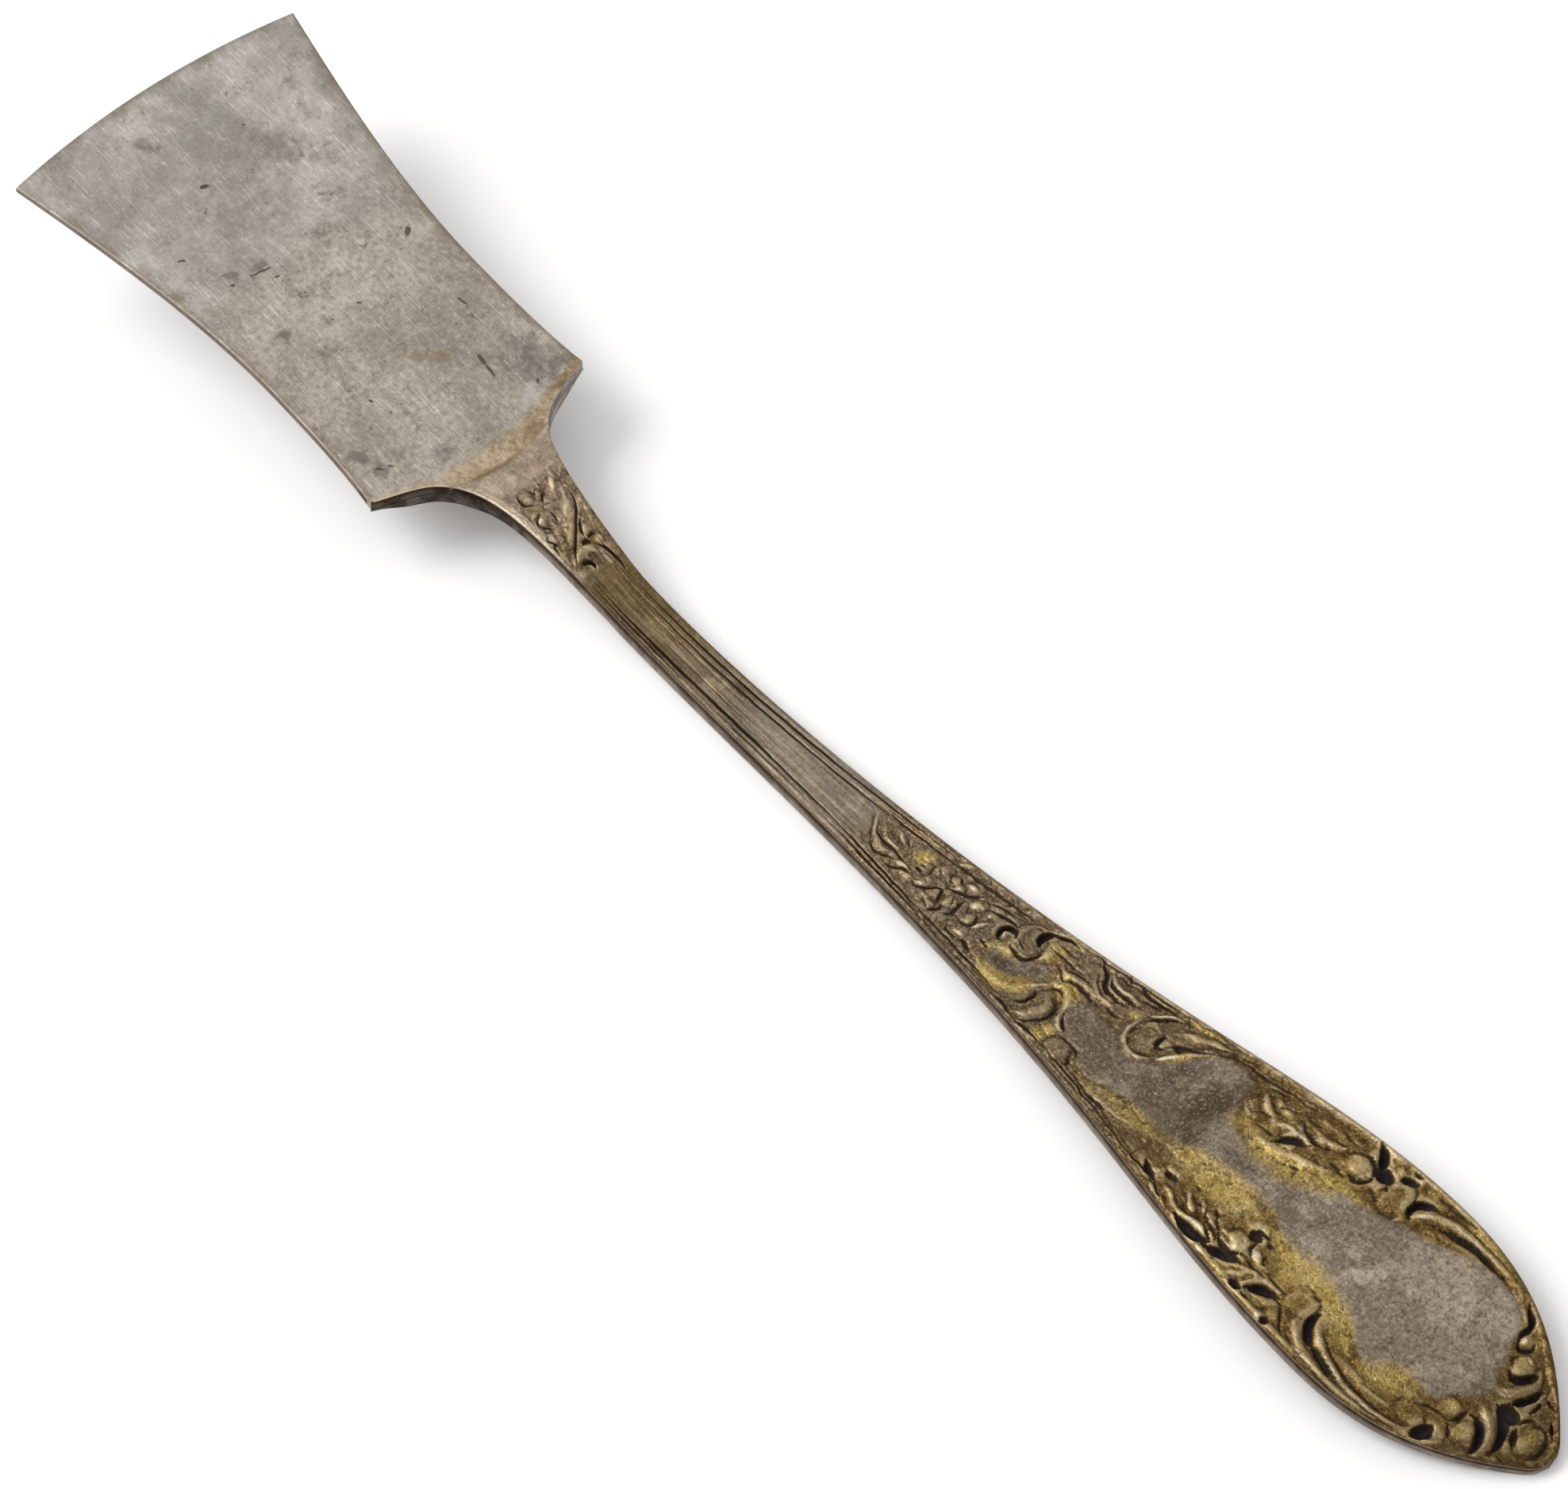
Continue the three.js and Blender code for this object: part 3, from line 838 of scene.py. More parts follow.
# %% Braze shape
BRAZE_SAG = 0.04
HAIR = 0.006
FEATHER = 0.6
SPILL = 0.35
DIVE = 0.012
SWELL_OF_BRAZE = 0.022
BRAZE_ROWS = 181
BRAZE_COLUMNS = 33
BRAZE_UNDER_COLUMNS = 23
SHORT_OF_SHOULDER = 0.01
SHORT_OF_FLARE = 0.02
LEAST_RUN = 0.2
UNDER_ON_BLADE = -0.03
UNDER_ON_NECK = -0.05

flare_points = bezier(FLARE_LINE, np.linspace(0, 1, CURVE_POINTS))
braze_half = float(blade_half(BLADE_LENGTH)) - SHORT_OF_SHOULDER
turns = np.linspace(-1, 1, BRAZE_ROWS)
braze_y = (braze_half * np.sin(turns * math.pi / 2))[:, None]
reach = np.abs(braze_y)
beside_neck = reach < crease_edge[1]
feather = FEATHER * (1 + 0.35 * rumple(braze_y, braze_y, 0.9, 11))
inner = heel_line(reach) - feather * ease(1.15 - reach / braze_half)
flare_x = np.interp(-reach, -flare_points[:, 1], flare_points[:, 0])
outer = np.minimum(crease_line(reach) + SPILL, flare_x - SHORT_OF_FLARE)
outer_run = np.maximum(outer, inner + LEAST_RUN)
across = np.append(np.linspace(0, 0.98, BRAZE_COLUMNS), 1)[None]
braze_x = mix(inner, outer_run, across)
past_crease = braze_x - crease_line(reach)
from_heel = braze_x - heel_line(reach)
rise = CREASE_STEP * np.clip(from_heel / (from_heel - past_crease), 0, 1) ** 2
rise = rise * ease(1.3 * (1 - reach / crease_edge[1]))
neck_level = np.where(past_crease > 0, top_line(CREASE + past_crease), rise)
braze_top = neck_level - BRAZE_SAG * np.exp(-((past_crease + 0.5) / 0.4) ** 2) * beside_neck
swell = ease(5 * across) * np.where(beside_neck, ease(5 * (1 - across)), 1)
braze_top = braze_top - DIVE + SWELL_OF_BRAZE * swell
braze_under_x = mix(inner, outer_run, np.linspace(0, 1, BRAZE_UNDER_COLUMNS)[None])
on_blade = braze_under_x < heel_line(reach) + HAIR
on_neck = braze_under_x > crease_line(reach) - HAIR
braze_under = np.select([on_blade, on_neck & beside_neck], [UNDER_ON_BLADE, UNDER_ON_NECK],
                        -HEEL_THICKNESS)
braze_paint = {
    "bluing": bluing_on(Ground(braze_x, braze_y + 0 * braze_x, 0.3)),
    # a pale line on the braze's near outer edge: worn bright, and a painted highlight
    "worn_lip_highlight": np.exp(-(outer - braze_x) / 0.15) * ~beside_neck * (braze_y < 0),
    # painted shade on the braze's sides beyond the neck
    "wall": (across == 1) * ~beside_neck,
    "heelward": 1 + 0 * braze_x,
    **seam_paint(braze_x, braze_y),
}
braze = skin("heel_braze_fill", lay(braze_x, braze_y, braze_top),
             lay(braze_under_x, braze_y, braze_under), braze_paint)
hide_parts("heel_braze")

# %% [markdown]
# ## Handle
#
# The handle is struck between two dies from one thick blank: a thin flared palm under the blade's
# heel, a neck with a crown, a slim stem that dips and lifts, and a broad end with a pointed nose.
# Its rings follow the outline, and towards the nose they bend, so that the last one is the nose's
# own arc and no ring shrinks to a point. Rows are close together only where there is ornament.

# %% Rows along the handle
STEP_ROWS = ((0.05, -0.4), (0.09, -0.1), (0.13, -0.045), (0.19, -0.012), (0.27, 0.0))
PALM_ROWS = 10
NECK_END = 51.0
NECK_STEP = 0.12
STEM_END = 76.0
STEM_STEP = 0.3
END_ROWS = 631
NOSE_ROWS = (0.26, 0.17, 0.1, 0.05, 0.02, 0.0)
NOSE_BEND_LENGTH = 5.6

flare_t = np.linspace(0, CREASE_ON_FLARE, PALM_ROWS)
palm_edge = bezier(FLARE_LINE, flare_t)
palm_share = flare_t / CREASE_ON_FLARE
step_x = crease_edge[0] + np.array([dx for dx, _ in STEP_ROWS])
neck_x = np.arange(step_x[-1] + 0.1, NECK_END, NECK_STEP)
stem_x = np.arange(NECK_END, STEM_END, STEM_STEP)
end_x = np.linspace(STEM_END, NOSE_START[0] - 0.33, END_ROWS)
nose_x = NOSE_START[0] - np.array(NOSE_ROWS)
struck_x = np.concatenate([step_x, neck_x, stem_x, end_x, nose_x])
row_x = np.concatenate([palm_edge[:, 0], struck_x])[:, None]
row_half = np.concatenate([palm_edge[:, 1], handle_half(struck_x)])[:, None]
is_palm = (np.arange(len(row_x)) < PALM_ROWS)[:, None]

along_flare = np.interp(row_x, flare_points[:, 0], np.linspace(0, 1, CURVE_POINTS))
neck_share = (along_flare - CREASE_ON_FLARE) / (1 - CREASE_ON_FLARE)
palm_bow = np.concatenate([mix(-PALM_REACH, CREASE_BOW, palm_share), np.zeros(len(struck_x))])[:, None]
row_bow = np.where(is_palm, palm_bow, CREASE_BOW * (1 - ease(2 * neck_share)))
nose_share = ease((row_x - NOSE_START[0] + NOSE_BEND_LENGTH) / NOSE_BEND_LENGTH)
print("handle has", len(row_x), "rows")

# %% Places on the top and under it
HANDLE_COLUMNS = 94
HANDLE_UNDER_COLUMNS = 3
PACKED_TO_EDGE = 0.2
SLIM = 1.6
handle_insets = np.array([0, 0.02, 0.06, 0.12, 0.2, 0.32])
top_share, top_inset = columns(HANDLE_COLUMNS, handle_insets)
top_share = top_share * (1 + PACKED_TO_EDGE * (1 - top_share ** 2))
low_share, low_inset = columns(HANDLE_UNDER_COLUMNS, np.array([0, 0.1, 0.28, 0.55]))


def spread(share, inset):
    """x, y and the distance to the outline for every row at these columns."""
    y = share * (row_half - inset * np.minimum(1, row_half / SLIM))
    v = y / row_half
    arc = np.sqrt(NOSE_RADIUS ** 2 - (NOSE_START[1] * v) ** 2) - (NOSE_START[0] - NOSE_CENTRE)
    x = row_x + row_bow * (1 - v * v) + nose_share * arc
    lean = np.gradient(row_half[:, 0], row_x[:, 0] + np.arange(len(row_x)) * 1e-9)[:, None]
    gap = (row_half - np.abs(y)) / np.sqrt(1 + np.clip(lean, -3, 3) ** 2)
    ahead = x - NOSE_CENTRE
    in_nose = (ahead > 0) & (np.abs(y) < ahead * math.tan(NOSE_TURN))
    nose_gap = np.maximum(NOSE_RADIUS - np.hypot(ahead, y), 0)
    return x, y, np.where(in_nose, nose_gap, gap)


top_x, top_y, top_gap = spread(top_share, top_inset)
low_x, low_y, low_gap = spread(low_share, low_inset)
PALM_TOP = -HEEL_THICKNESS - FILM
PALM_BELLY = 0.3
PALM_BOTTOM = PALM_TOP - PALM_THICKNESS - PALM_BELLY


def middle_height(x):
    """Height of the struck top: level along a bowed row, and by x from the stem on."""
    row_level = top_line(np.maximum(CREASE, row_x + row_bow))
    return np.where(row_x < STEM[0], row_level, top_line(x))


step_drop = np.zeros_like(row_x)
step_drop[PALM_ROWS:PALM_ROWS + len(STEP_ROWS), 0] = [drop for _, drop in STEP_ROWS]
top_edge = np.interp(top_x, (41, 50), (0.14, 0.3))
top_z = middle_height(top_x) + step_drop - round_over(top_gap, top_edge)
top_z = np.where(is_palm, PALM_TOP, top_z)

low_z = middle_height(low_x) - metal_thickness(low_x)
low_z = mix(PALM_BOTTOM, low_z, ease(2 * neck_share))
palm_or_full = np.concatenate([palm_share, np.ones(len(struck_x))])[:, None]
palm_low = mix(PALM_TOP - PALM_LIP, PALM_BOTTOM, ease(2 * palm_or_full))
low_z = np.where(is_palm, palm_low, low_z)
SOLE_INSET = 0.55
SOLE_RISE = 0.45
SOLE_AT_CREASE = 0.3
sole_size = mix(SOLE_AT_CREASE, 1, ease((row_x - CREASE) / 4)) * np.minimum(1, row_half / 1.3)
low_z = low_z + sole_size * SOLE_RISE / SOLE_INSET * round_over(low_gap, SOLE_INSET)
print("palm is %.1f mm wide, top reaches %.2f mm" % (2 * top_y.max(), top_z.max()))

# %% [markdown]
# ## The struck ornament
#
# The ornament is traditional: twin threads along the stem, a bud and leaves on the neck, a spray
# and a cluster of small flowers where the handle starts to widen, then scrolls and leaf fans
# round a plain field, and a shell at the nose. It is laid down in layers. `relief` holds what
# stands proud, `cut` what is sunk, and three painted values say where gilding is left, where the
# metal is plain, and where it is rubbed bright or given a painted highlight.

# %% Ground and layers
BUD_FLATNESS = 0.6


def along(text):
    """A value that changes along the handle, from 'x value, x value'."""
    places, values = zip(*(map(float, pair.split()) for pair in text.split(",")))
    return np.interp(top_x, places, values)


top = Ground(top_x, top_y, along("80 .03, 90 .1, 121 .1, 126 .04"))
relief = top.blank()
cut = top.blank()
gilt = top.blank()
# light marks: rubbed-bright wear and painted highlights on ridges and edges
bright_wear_and_highlight = top.blank()
press = top.strokes
dot = top.bosses


def tell(part):
    """Prints how many points are cut, raised, and rubbed bright or given a painted highlight, once
    this part is laid down.
    """
    marked = [int((layer > 0).sum()) for layer in (cut, relief, bright_wear_and_highlight)]
    print(part, "laid down, points cut, raised and rubbed so far:", marked)


def bud(lines, ring=0.08):
    """Low flat-topped ovals, each with a broken cut line round it."""
    for line in lines.strip().splitlines():
        x, y, rx, ry, height, *turn = map(float, line.split())
        top.boss(relief, x, y, rx, ry, height * BUD_FLATNESS, *turn, power=0.45)
        top.moat(cut, x, y, rx, ry, ring, *turn)


def signed_gap(text):
    """Distance to a closed smooth line, positive inside it."""
    knots = [pair.strip() for pair in text.split(",")]
    line = trace(", ".join(knots + knots[:1]))
    start = line[:-1]
    step = line[1:] - start
    where = top.near(line[:, 0].min() - 2, line[:, 0].max() + 2, -9, 9)
    px = top.flat_x[where]
    py = top.flat_y[where]
    best = np.full(len(where), 9.0)
    inside = np.zeros(len(where), bool)
    for (ax, ay), (sx, sy) in zip(start, step):
        t = np.clip(((px - ax) * sx + (py - ay) * sy) / max(sx * sx + sy * sy, 1e-9), 0, 1)
        best = np.minimum(best, np.hypot(px - ax - t * sx, py - ay - t * sy))
        crosses = (ay > py) != (ay + sy > py)
        if abs(sy) > 1e-9:
            inside ^= crosses & (px < ax + (py - ay) * sx / sy)
    gap = top.blank(-9.0)
    gap.reshape(-1)[where] = np.where(inside, best, -best)
    return gap


print("struck top has", top_x.size, "points")

# %% Plain field and kidney
FIELD = """96.9 -.1, 97.5 -1.2, 98.6 -1.95, 99.9 -2.15, 100.7 -2.75, 102 -3.05, 103.5 -2.7,
105 -2.4, 107 -2.55, 109 -2.5, 110.5 -2.1, 112.5 -1.8, 114.5 -1.6, 116 -1.4, 117.5 -1.6, 119 -2.3,
120.5 -2.5, 122.5 -2.4, 124.5 -2.7, 126 -3.2, 127.2 -3.9, 128.5 -4.3, 129.5 -3.7, 130.3 -2.9,
131.5 -2.7, 132.5 -2.6, 133.2 -1.4, 134 -.6, 134.7 0, 134.5 .7, 133.9 1.4, 133.6 2.4, 133 3.3,
132.6 4.4, 131.5 5.3, 130 5.7, 128 5.6, 126.5 5, 125.2 4.4, 123.8 3.9, 122.3 3.4, 121 3,
119.5 2.7, 118 2.2, 117 1.4, 115.8 .8, 114 .6, 112.2 .7, 111 1.2, 110.1 2, 109.6 3, 109.2 4, 108.2 4.2,
107 3.9, 105.9 3, 105.1 2, 104.4 1.1, 103.6 .2, 102.6 -.25, 101.5 -.15, 100.8 .4, 99.5 .6,
98.2 .6, 97.3 .3"""
KIDNEY = """90.2 -1.3, 90.9 -1.8, 91.9 -1.85, 92.9 -1.5, 93.6 -.8, 94.2 -.2, 94.3 .45, 93.7 .5,
92.8 -.05, 91.4 -.3, 90.6 -.6"""
field_gap = signed_gap(FIELD)
kidney_gap = signed_gap(KIDNEY)
plain = np.maximum(ease(field_gap / 0.5 + 0.35), ease(kidney_gap / 0.2 + 0.5))
ornamented = ease((top_x - 77) / 4) * ease(top_gap / 0.5 - 0.5)
valley = np.exp(-((field_gap + 0.55) / 0.6) ** 2) * ease(1 - plain)
print("field covers", int((field_gap > 0).sum()), "points, kidney", int((kidney_gap > 0).sum()))

# %% Threads along both edges
EDGE_STEP = 0.4


def beside_edge(layer, lines):
    """Strokes beside an edge, from 'half height: side inset start end' lines."""
    for line in lines.strip().splitlines():
        size, path = line.split(":")
        side, inset, start, end = map(float, path.split())
        x = np.arange(start, end, EDGE_STEP)
        edge = np.stack([x, side * (handle_half(x) - inset)], axis=1)
        top.stroke(layer, edge, *map(float, size.split()))


threads = top.blank()
beside_edge(threads, """
.1 .1: -1 .3 88 113
.1 .15: -1 .6 96 111
.1 .08: -1 .9 99 108
.1 .1: 1 .35 92 113
.1 .13: 1 .75 84 91.2
.1 .1: 1 .65 95 112
.1 .15: 1 .95 106.8 114.3
""")
press(threads, """
.12 .3: 50.4 -1.12, 54 -1.15, 60 -1.14, 66 -1.17, 70 -1.26, 74.5 -1.4
.09 .2: 66 -1.17, 70 -1.26, 73 -1.35, 76.5 -1.5
.07 .16: 51.5 -1.4, 54 -1.39, 56 -1.38, 59.5 -1.42
.06 .1: 50 -1.62, 54 -1.64, 58 -1.66, 61 -1.7
.06 .1: 62 -1.45, 66 -1.5, 70 -1.6, 75 -1.75
.09 .2: 74.5 -1.42, 77 -1.56, 80 -1.78, 83 -2.02, 86 -2.28
.08 .17: 74.8 -1.75, 77.5 -1.92, 80 -2.1, 83 -2.32, 86.5 -2.66
.07 .15: 82 -2.2, 84 -2.42, 87 -2.75, 90 -3, 93 -3.25
.1 .25: 48 .66, 55 .66, 60 .68, 65 .78, 70 .95, 73 1.07, 76 1.22, 80 1.42
.09 .2: 66 .8, 70 .95, 73 1.07, 76 1.22, 79 1.36
.1 .25: 48 1.1, 55 1.12, 60 1.15, 65 1.27, 70 1.45, 76 1.75, 80 2, 84 2.2
.09 .2: 64 1.25, 70 1.45, 76 1.75, 81 2.05
.09 .2: 83 -2.05, 85 -2.2, 87 -2.35, 89 -2.5, 91 -2.65, 93 -2.85
.09 .2: 75 1.3, 79 1.5, 83 1.8, 87 2.12, 91 2.45
.05 .08: 52 .2, 56 .25, 60 .3, 64 .34
.05 .08: 55 -.5, 59 -.45, 63 -.5, 68 -.55
.05 .07: 62 0, 67 -.05, 71 0
""")
cut = np.maximum(cut, threads * np.clip(0.85 + 0.5 * rumple(0.3 * top_x, top_y, 0.9, 12), 0.3, 1))
beside_edge(relief, """
.2 .06: 1 .3 84 92
.2 .05: -1 .2 110 134
.2 .04: 1 .2 100 134
""")
STEM_CROWN = 0.05
on_stem = ease((top_x - 50) / 3) * ease((80 - top_x) / 6)
relief = np.maximum(relief, STEM_CROWN * on_stem * np.clip(1 - (top_y / 1.2) ** 2, 0, 1))
tell("threads")

# %% Neck: bud, leaves and the first scroll
press(cut, """
.1 .14: 42.1 -.95, 42.3 -1.25, 42.7 -1.38, 43.1 -1.35, 43.3 -1.1, 43.5 -.75, 43.75 -.5
.11 .15: 43.8 -.25, 43.35 0, 43.12 .25, 43.25 .45
.09 .1: 42.3 -.35, 42.7 -.3, 43 -.1
.1 .14: 44.15 -.65, 44.3 -1, 44.55 -1.35, 44.85 -1.5, 45.2 -1.58
.1 .15: 45.15 -1.6, 45.4 -1.2, 45.7 -.85
.1 .15: 45.85 -1.2, 45.9 -1.6, 46.2 -1.75, 46.5 -1.6, 46.75 -1.55, 46.85 -1.72, 47.3 -1.75, 47.9 -1.98
.1 .1: 44.3 -.3, 44.9 -.22, 45.6 -.32
.11 .16: 43.5 1.72, 44.3 1.7, 44.9 1.55, 45.5 1.2, 46.1 .7, 46.8 .1, 47.4 -.4, 47.9 -.85,
 48.5 -1.2, 49.1 -1.65
.11 .16: 46.1 1.25, 46.3 .85, 46.7 .6, 47 .45, 47.45 .4
.12 .2: 47.55 .5, 47.45 .9, 47.6 1.3
.17 .24: 47.8 -.1, 47.6 .25, 47.95 .5
.17 .4: 48.9 -1.1, 48.85 -.75, 49 -.5, 49.3 -.38, 49.6 -.5
.14 .26: 48.05 .6, 48.4 .85, 48.9 1.05, 49.6 1.15, 50.8 1.15
.08 .09: 50.9 -1.38, 52 -1.4, 53.4 -1.36
""")
press(relief, """
.5 .11: 43.7 1.45, 44.8 1.05, 45.8 .4, 46.8 -.3, 47.7 -.9
.3 .09: 45.1 -.5, 46.3 -.85, 47.3 -1.15, 48.3 -1.7
.4 .15: 49.2 -1.9, 48.6 -1.3, 48.2 -.6, 48.2 0, 48.6 .3, 49.2 .42
.1 .09: 48.5 .6, 49.3 .66, 50.5 .68
.3 .1: 41.7 1.8, 42.6 1.5, 43.6 .9
""")
bud("""
42.75 -.85 .5 .4 .08
43.95 .1 .6 .5 .1
44.75 -1.05 .42 .4 .08
46.3 -1.3 .5 .28 .08
47 .85 .42 .35 .1
48 1.15 .35 .3 .08
49.55 -1.35 .55 .5 .14 -30
45.3 .1 .5 .3 .06 -30
""", 0.05)
dot(bright_wear_and_highlight, """
42.9 -.95 .25 .15 .4
44.75 -1.25 .35 .2 .7
46.2 -1.42 .4 .15 .6 -10
45 .8 .7 .22 .55 -35
47.1 .7 .25 .15 .6
47.95 1.2 .2 .15 .5
49.5 -1.5 .35 .3 .6
42.9 1.1 .5 .14 .45 -20
40.9 -2.2 .7 .25 .5 20
40.9 -.7 .35 .2 .4 -30
""")
press(bright_wear_and_highlight, """
.08 1: 48.6 .58, 49.3 .64, 50.4 .66
""")
# painted highlight along the rubbed near edge of the neck
beside_edge(bright_wear_and_highlight, """
.13 1: -1 .06 39 50
.3 .65: -1 .35 40 48.5
""")
tell("neck")

# %% Spray and flower cluster
press(cut, """
.09 .1: 76.4 1, 77 .8, 77.3 .35, 77.7 -.1, 78.1 -.55, 78.6 -.95
.11 .15: 78.5 -.9, 79 -1.15, 79.4 -1.2, 79.9 -1.02, 80.25 -.8, 80.6 -.65
.1 .13: 77.4 .95, 77.8 .35, 78.3 -.12, 79 -.3, 80 -.26, 81 -.38, 82.4 -.46
.07 .07: 78.4 .6, 79 .2, 79.9 .1, 80.4 .2
.07 .07: 79.2 .9, 79.8 .5, 80.5 .45
.07 .07: 79.9 1.2, 80.4 .8, 80.7 .6
.11 .15: 80.2 -1.3, 80.8 -1.3, 81.2 -1.1, 81.6 -.8, 82 -.74, 82.45 -.76
.12 .17: 82.6 -.8, 82.8 -1.05, 83.2 -1.1, 83.6 -.88, 83.95 -.6, 84.25 -.28, 84.7 -.2, 84.9 -.6,
 85.1 -.9, 85.5 -.9
.08 .1: 84 -1.35, 84.5 -1.6, 85.1 -1.7
.13 .2: 82.05 -.1, 82.35 -.14, 82.6 -.05
.12 .13: 82.1 .28, 82.6 .3
.1 .14: 83 -.2, 83.06 .3, 82.92 .75, 82.85 1.15
.07 .08: 83.3 .9, 83.8 .5, 84.1 .3
.12 .17: 84.7 .1, 85.3 .4, 86 .62, 86.45 .95, 86.8 1.2, 87.1 1.55
.09 .14: 84.1 1.5, 84.22 1.05, 84.5 .75, 84.9 .8
.09 .12: 84.7 1.5, 85.1 1.2, 85.4 1.25
.16 .24: 85.1 -1.9, 85.3 -1.6, 85.62 -1.3, 85.5 -.9
.13 .18: 86 -1.5, 86.3 -1.1, 86.42 -.6, 86.32 -.1, 86.35 .5
.11 .17: 86.8 -1.5, 87.1 -1.9, 87.8 -2.02, 88.2 -1.85
.17 .26: 88.3 -1.95, 88.6 -1.75, 89 -1.95, 89.5 -2.15
.1 .15: 87 -.7, 87.4 -.88, 87.9 -.8, 88.1 -.4, 87.9 .1, 87.5 .3
.08 .12: 86.7 .3, 87 0, 87.3 -.2
.15 .2: 87.9 1, 88.6 1.2, 89.2 1.4, 89.9 1.5, 90.6 1.5
.09 .12: 87.4 1.3, 88.4 1.7, 89.6 1.9
.1 .12: 83 1.75, 83.8 1.87, 84.6 1.97, 85.5 1.93, 86.6 1.98
.1 .16: 89.2 -.7, 89.45 -.95, 89.75 -.75
.08 .1: 85.6 .1, 85.9 -.3, 86.1 -.7
""")
press(relief, """
.3 .13: 76.9 1.1, 77.4 .5, 77.9 0, 78.6 -.5, 79.4 -.72, 80.2 -.5
.3 .12: 77.9 .9, 78.6 .35, 79.5 .05, 80.5 .05
.25 .1: 79 1.1, 79.7 .8, 80.5 .5
.25 .13: 80.6 -.8, 81.3 -.6, 82 -.6
.12 .12: 88 -.85, 88.4 -.3, 88.85 .35
.25 .12: 83.6 -1.2, 84.4 -1.25, 85 -1.35
""")
bud("""
83.4 -.4 .5 .5 .16
84.5 -.75 .45 .5 .15
83.5 .9 .4 .5 .15
84.75 1 .45 .35 .17
85.5 .75 .3 .3 .17
85.7 -.4 .5 .5 .16
86 1.35 .5 .25 .15
87.6 -.35 .42 .42 .17
87.2 .65 .45 .35 .16
87.8 -1.35 .6 .35 .13
88.5 .85 .5 .3 .1
85.9 -1.9 .4 .3 .1
""")
dot(bright_wear_and_highlight, """
82.2 -1.1 .5 .25 .5
83.3 -.9 .3 .15 .6
84.3 .8 .25 .25 .7
85.3 .7 .25 .2 .9 20
86 1.35 .45 .15 .9
87 .45 .35 .2 .8
87.5 .75 .3 .15 .8
87.9 -1.6 .4 .15 .6
""")
press(bright_wear_and_highlight, """
.12 1: 88 -.85, 88.4 -.3, 88.8 .35
.12 .7: 77.1 1, 77.5 .5, 77.9 0, 78.4 -.3
.1 .6: 80.7 -.75, 81.3 -.6, 82 -.6
.08 .6: 79.2 1.1, 79.6 .85, 79.6 .6
.08 .6: 80.1 1.1, 80.45 .9, 80.6 .6
""")
tell("spray and cluster")

# %% Round scrolls, kidney rim and boss
press(cut, """
.24 .5: 90.15 -.2, 89.8 .1, 89.66 .5, 89.8 .9, 90.2 1.15, 90.6 1.05, 90.85 .75
.25 .5: 92.35 1.35, 92.06 1.7, 91.96 2.1, 92.12 2.4, 92.5 2.7
.15 .3: 92.3 2.6, 93 2.9, 93.5 3.05, 94.2 3.06
.15 .22: 90.9 .3, 91.2 0, 91.8 -.1, 92.3 -.05, 92.6 .3, 92.8 .8, 92.72 1.35
.07 .1: 91 .55, 91.5 .25, 92 .15
.07 .1: 91 .9, 91.5 .55, 92 .5
.13 .34: 94.3 -2.65, 94.7 -2.3, 94.92 -1.8, 94.85 -1.3, 94.6 -.95
.1 .17: 95.4 -3.5, 96 -3.1, 96.5 -2.5, 96.75 -1.8, 96.7 -1.15, 96.3 -.6
.12 .16: 95.1 -.5, 95.4 -.2, 95.9 0, 96.4 -.1
.15 .2: 95.5 -3.72, 96.2 -3.5, 97 -3.5, 98 -3.5
.1 .16: 98.2 -2.25, 99 -2.18, 99.8 -2.22, 100.3 -2.5, 100.7 -2.8
.13 .2: 100.05 -3.65, 100.25 -3.3, 100.05 -2.9
.13 .28: 102.8 -3.9, 103.7 -4.02, 104.7 -4
.08 .12: 101.6 -3.75, 102.4 -3.75
.11 .3: 97.3 -1, 97.8 -1.5, 98.45 -1.9
.1 .15: 89.4 -.8, 89.7 -1, 90.1 -.9
.12 .16: 93.1 -3.2, 94 -3.2, 95 -3.45
""")
press(relief, """
.45 .2: 92.4 .25, 91.7 .2, 91 .6, 90.75 1.3, 91 2, 91.5 2.5
.4 .06: 90.15 -2.05, 91.5 -2.25, 92.9 -2.05, 93.8 -1.5, 94.3 -.8, 94.9 -.1
.35 .06: 89.5 -1.6, 89.9 -.8, 90.7 -.3, 91.5 -.1, 92.5 .1
.5 .17: 92.9 .5, 93.2 1.2, 93 2, 93.4 2.7
.55 .2: 95 -3.2, 95.7 -2.6, 96.1 -1.8, 95.9 -1.1, 95.4 -.9
.35 .14: 95.2 .2, 96 .35, 96.6 .1, 97 -.6, 97.3 -1.3, 98 -2
.06 .3: 90.2 .25, 90.05 .6, 90.2 .95
""")
bud("""
99 -3 .95 .85 .2
91.7 1.25 1 1 .15
95.8 -1.5 .85 1.1 .12 20
""")
press(bright_wear_and_highlight, """
.06 .6: 90 -1, 90.6 -.45, 91.3 -.15, 92.2 -.2
.06 .4: 89.5 -1.9, 90.4 -2.15, 91.8 -2.25, 93 -2.05
.1 .9: 94 -1.2, 94.4 -.7, 94.9 -.2
.1 .8: 96.6 .1, 97 -.5, 97.2 -1
.07 .8: 90.2 .3, 90.05 .6, 90.2 .9
.09 .7: 96.9 -1.2, 97.7 -1.9, 98.6 -2.15
.07 .7: 95.6 -3.8, 96.6 -3.7, 98 -3.55
.08 .6: 102 -3.6, 104 -3.75, 106.5 -3.65, 108 -3.7
.1 .7: 95.6 -3.2, 96.3 -2.6, 96.6 -1.9
""")
tell("round scrolls and boss")

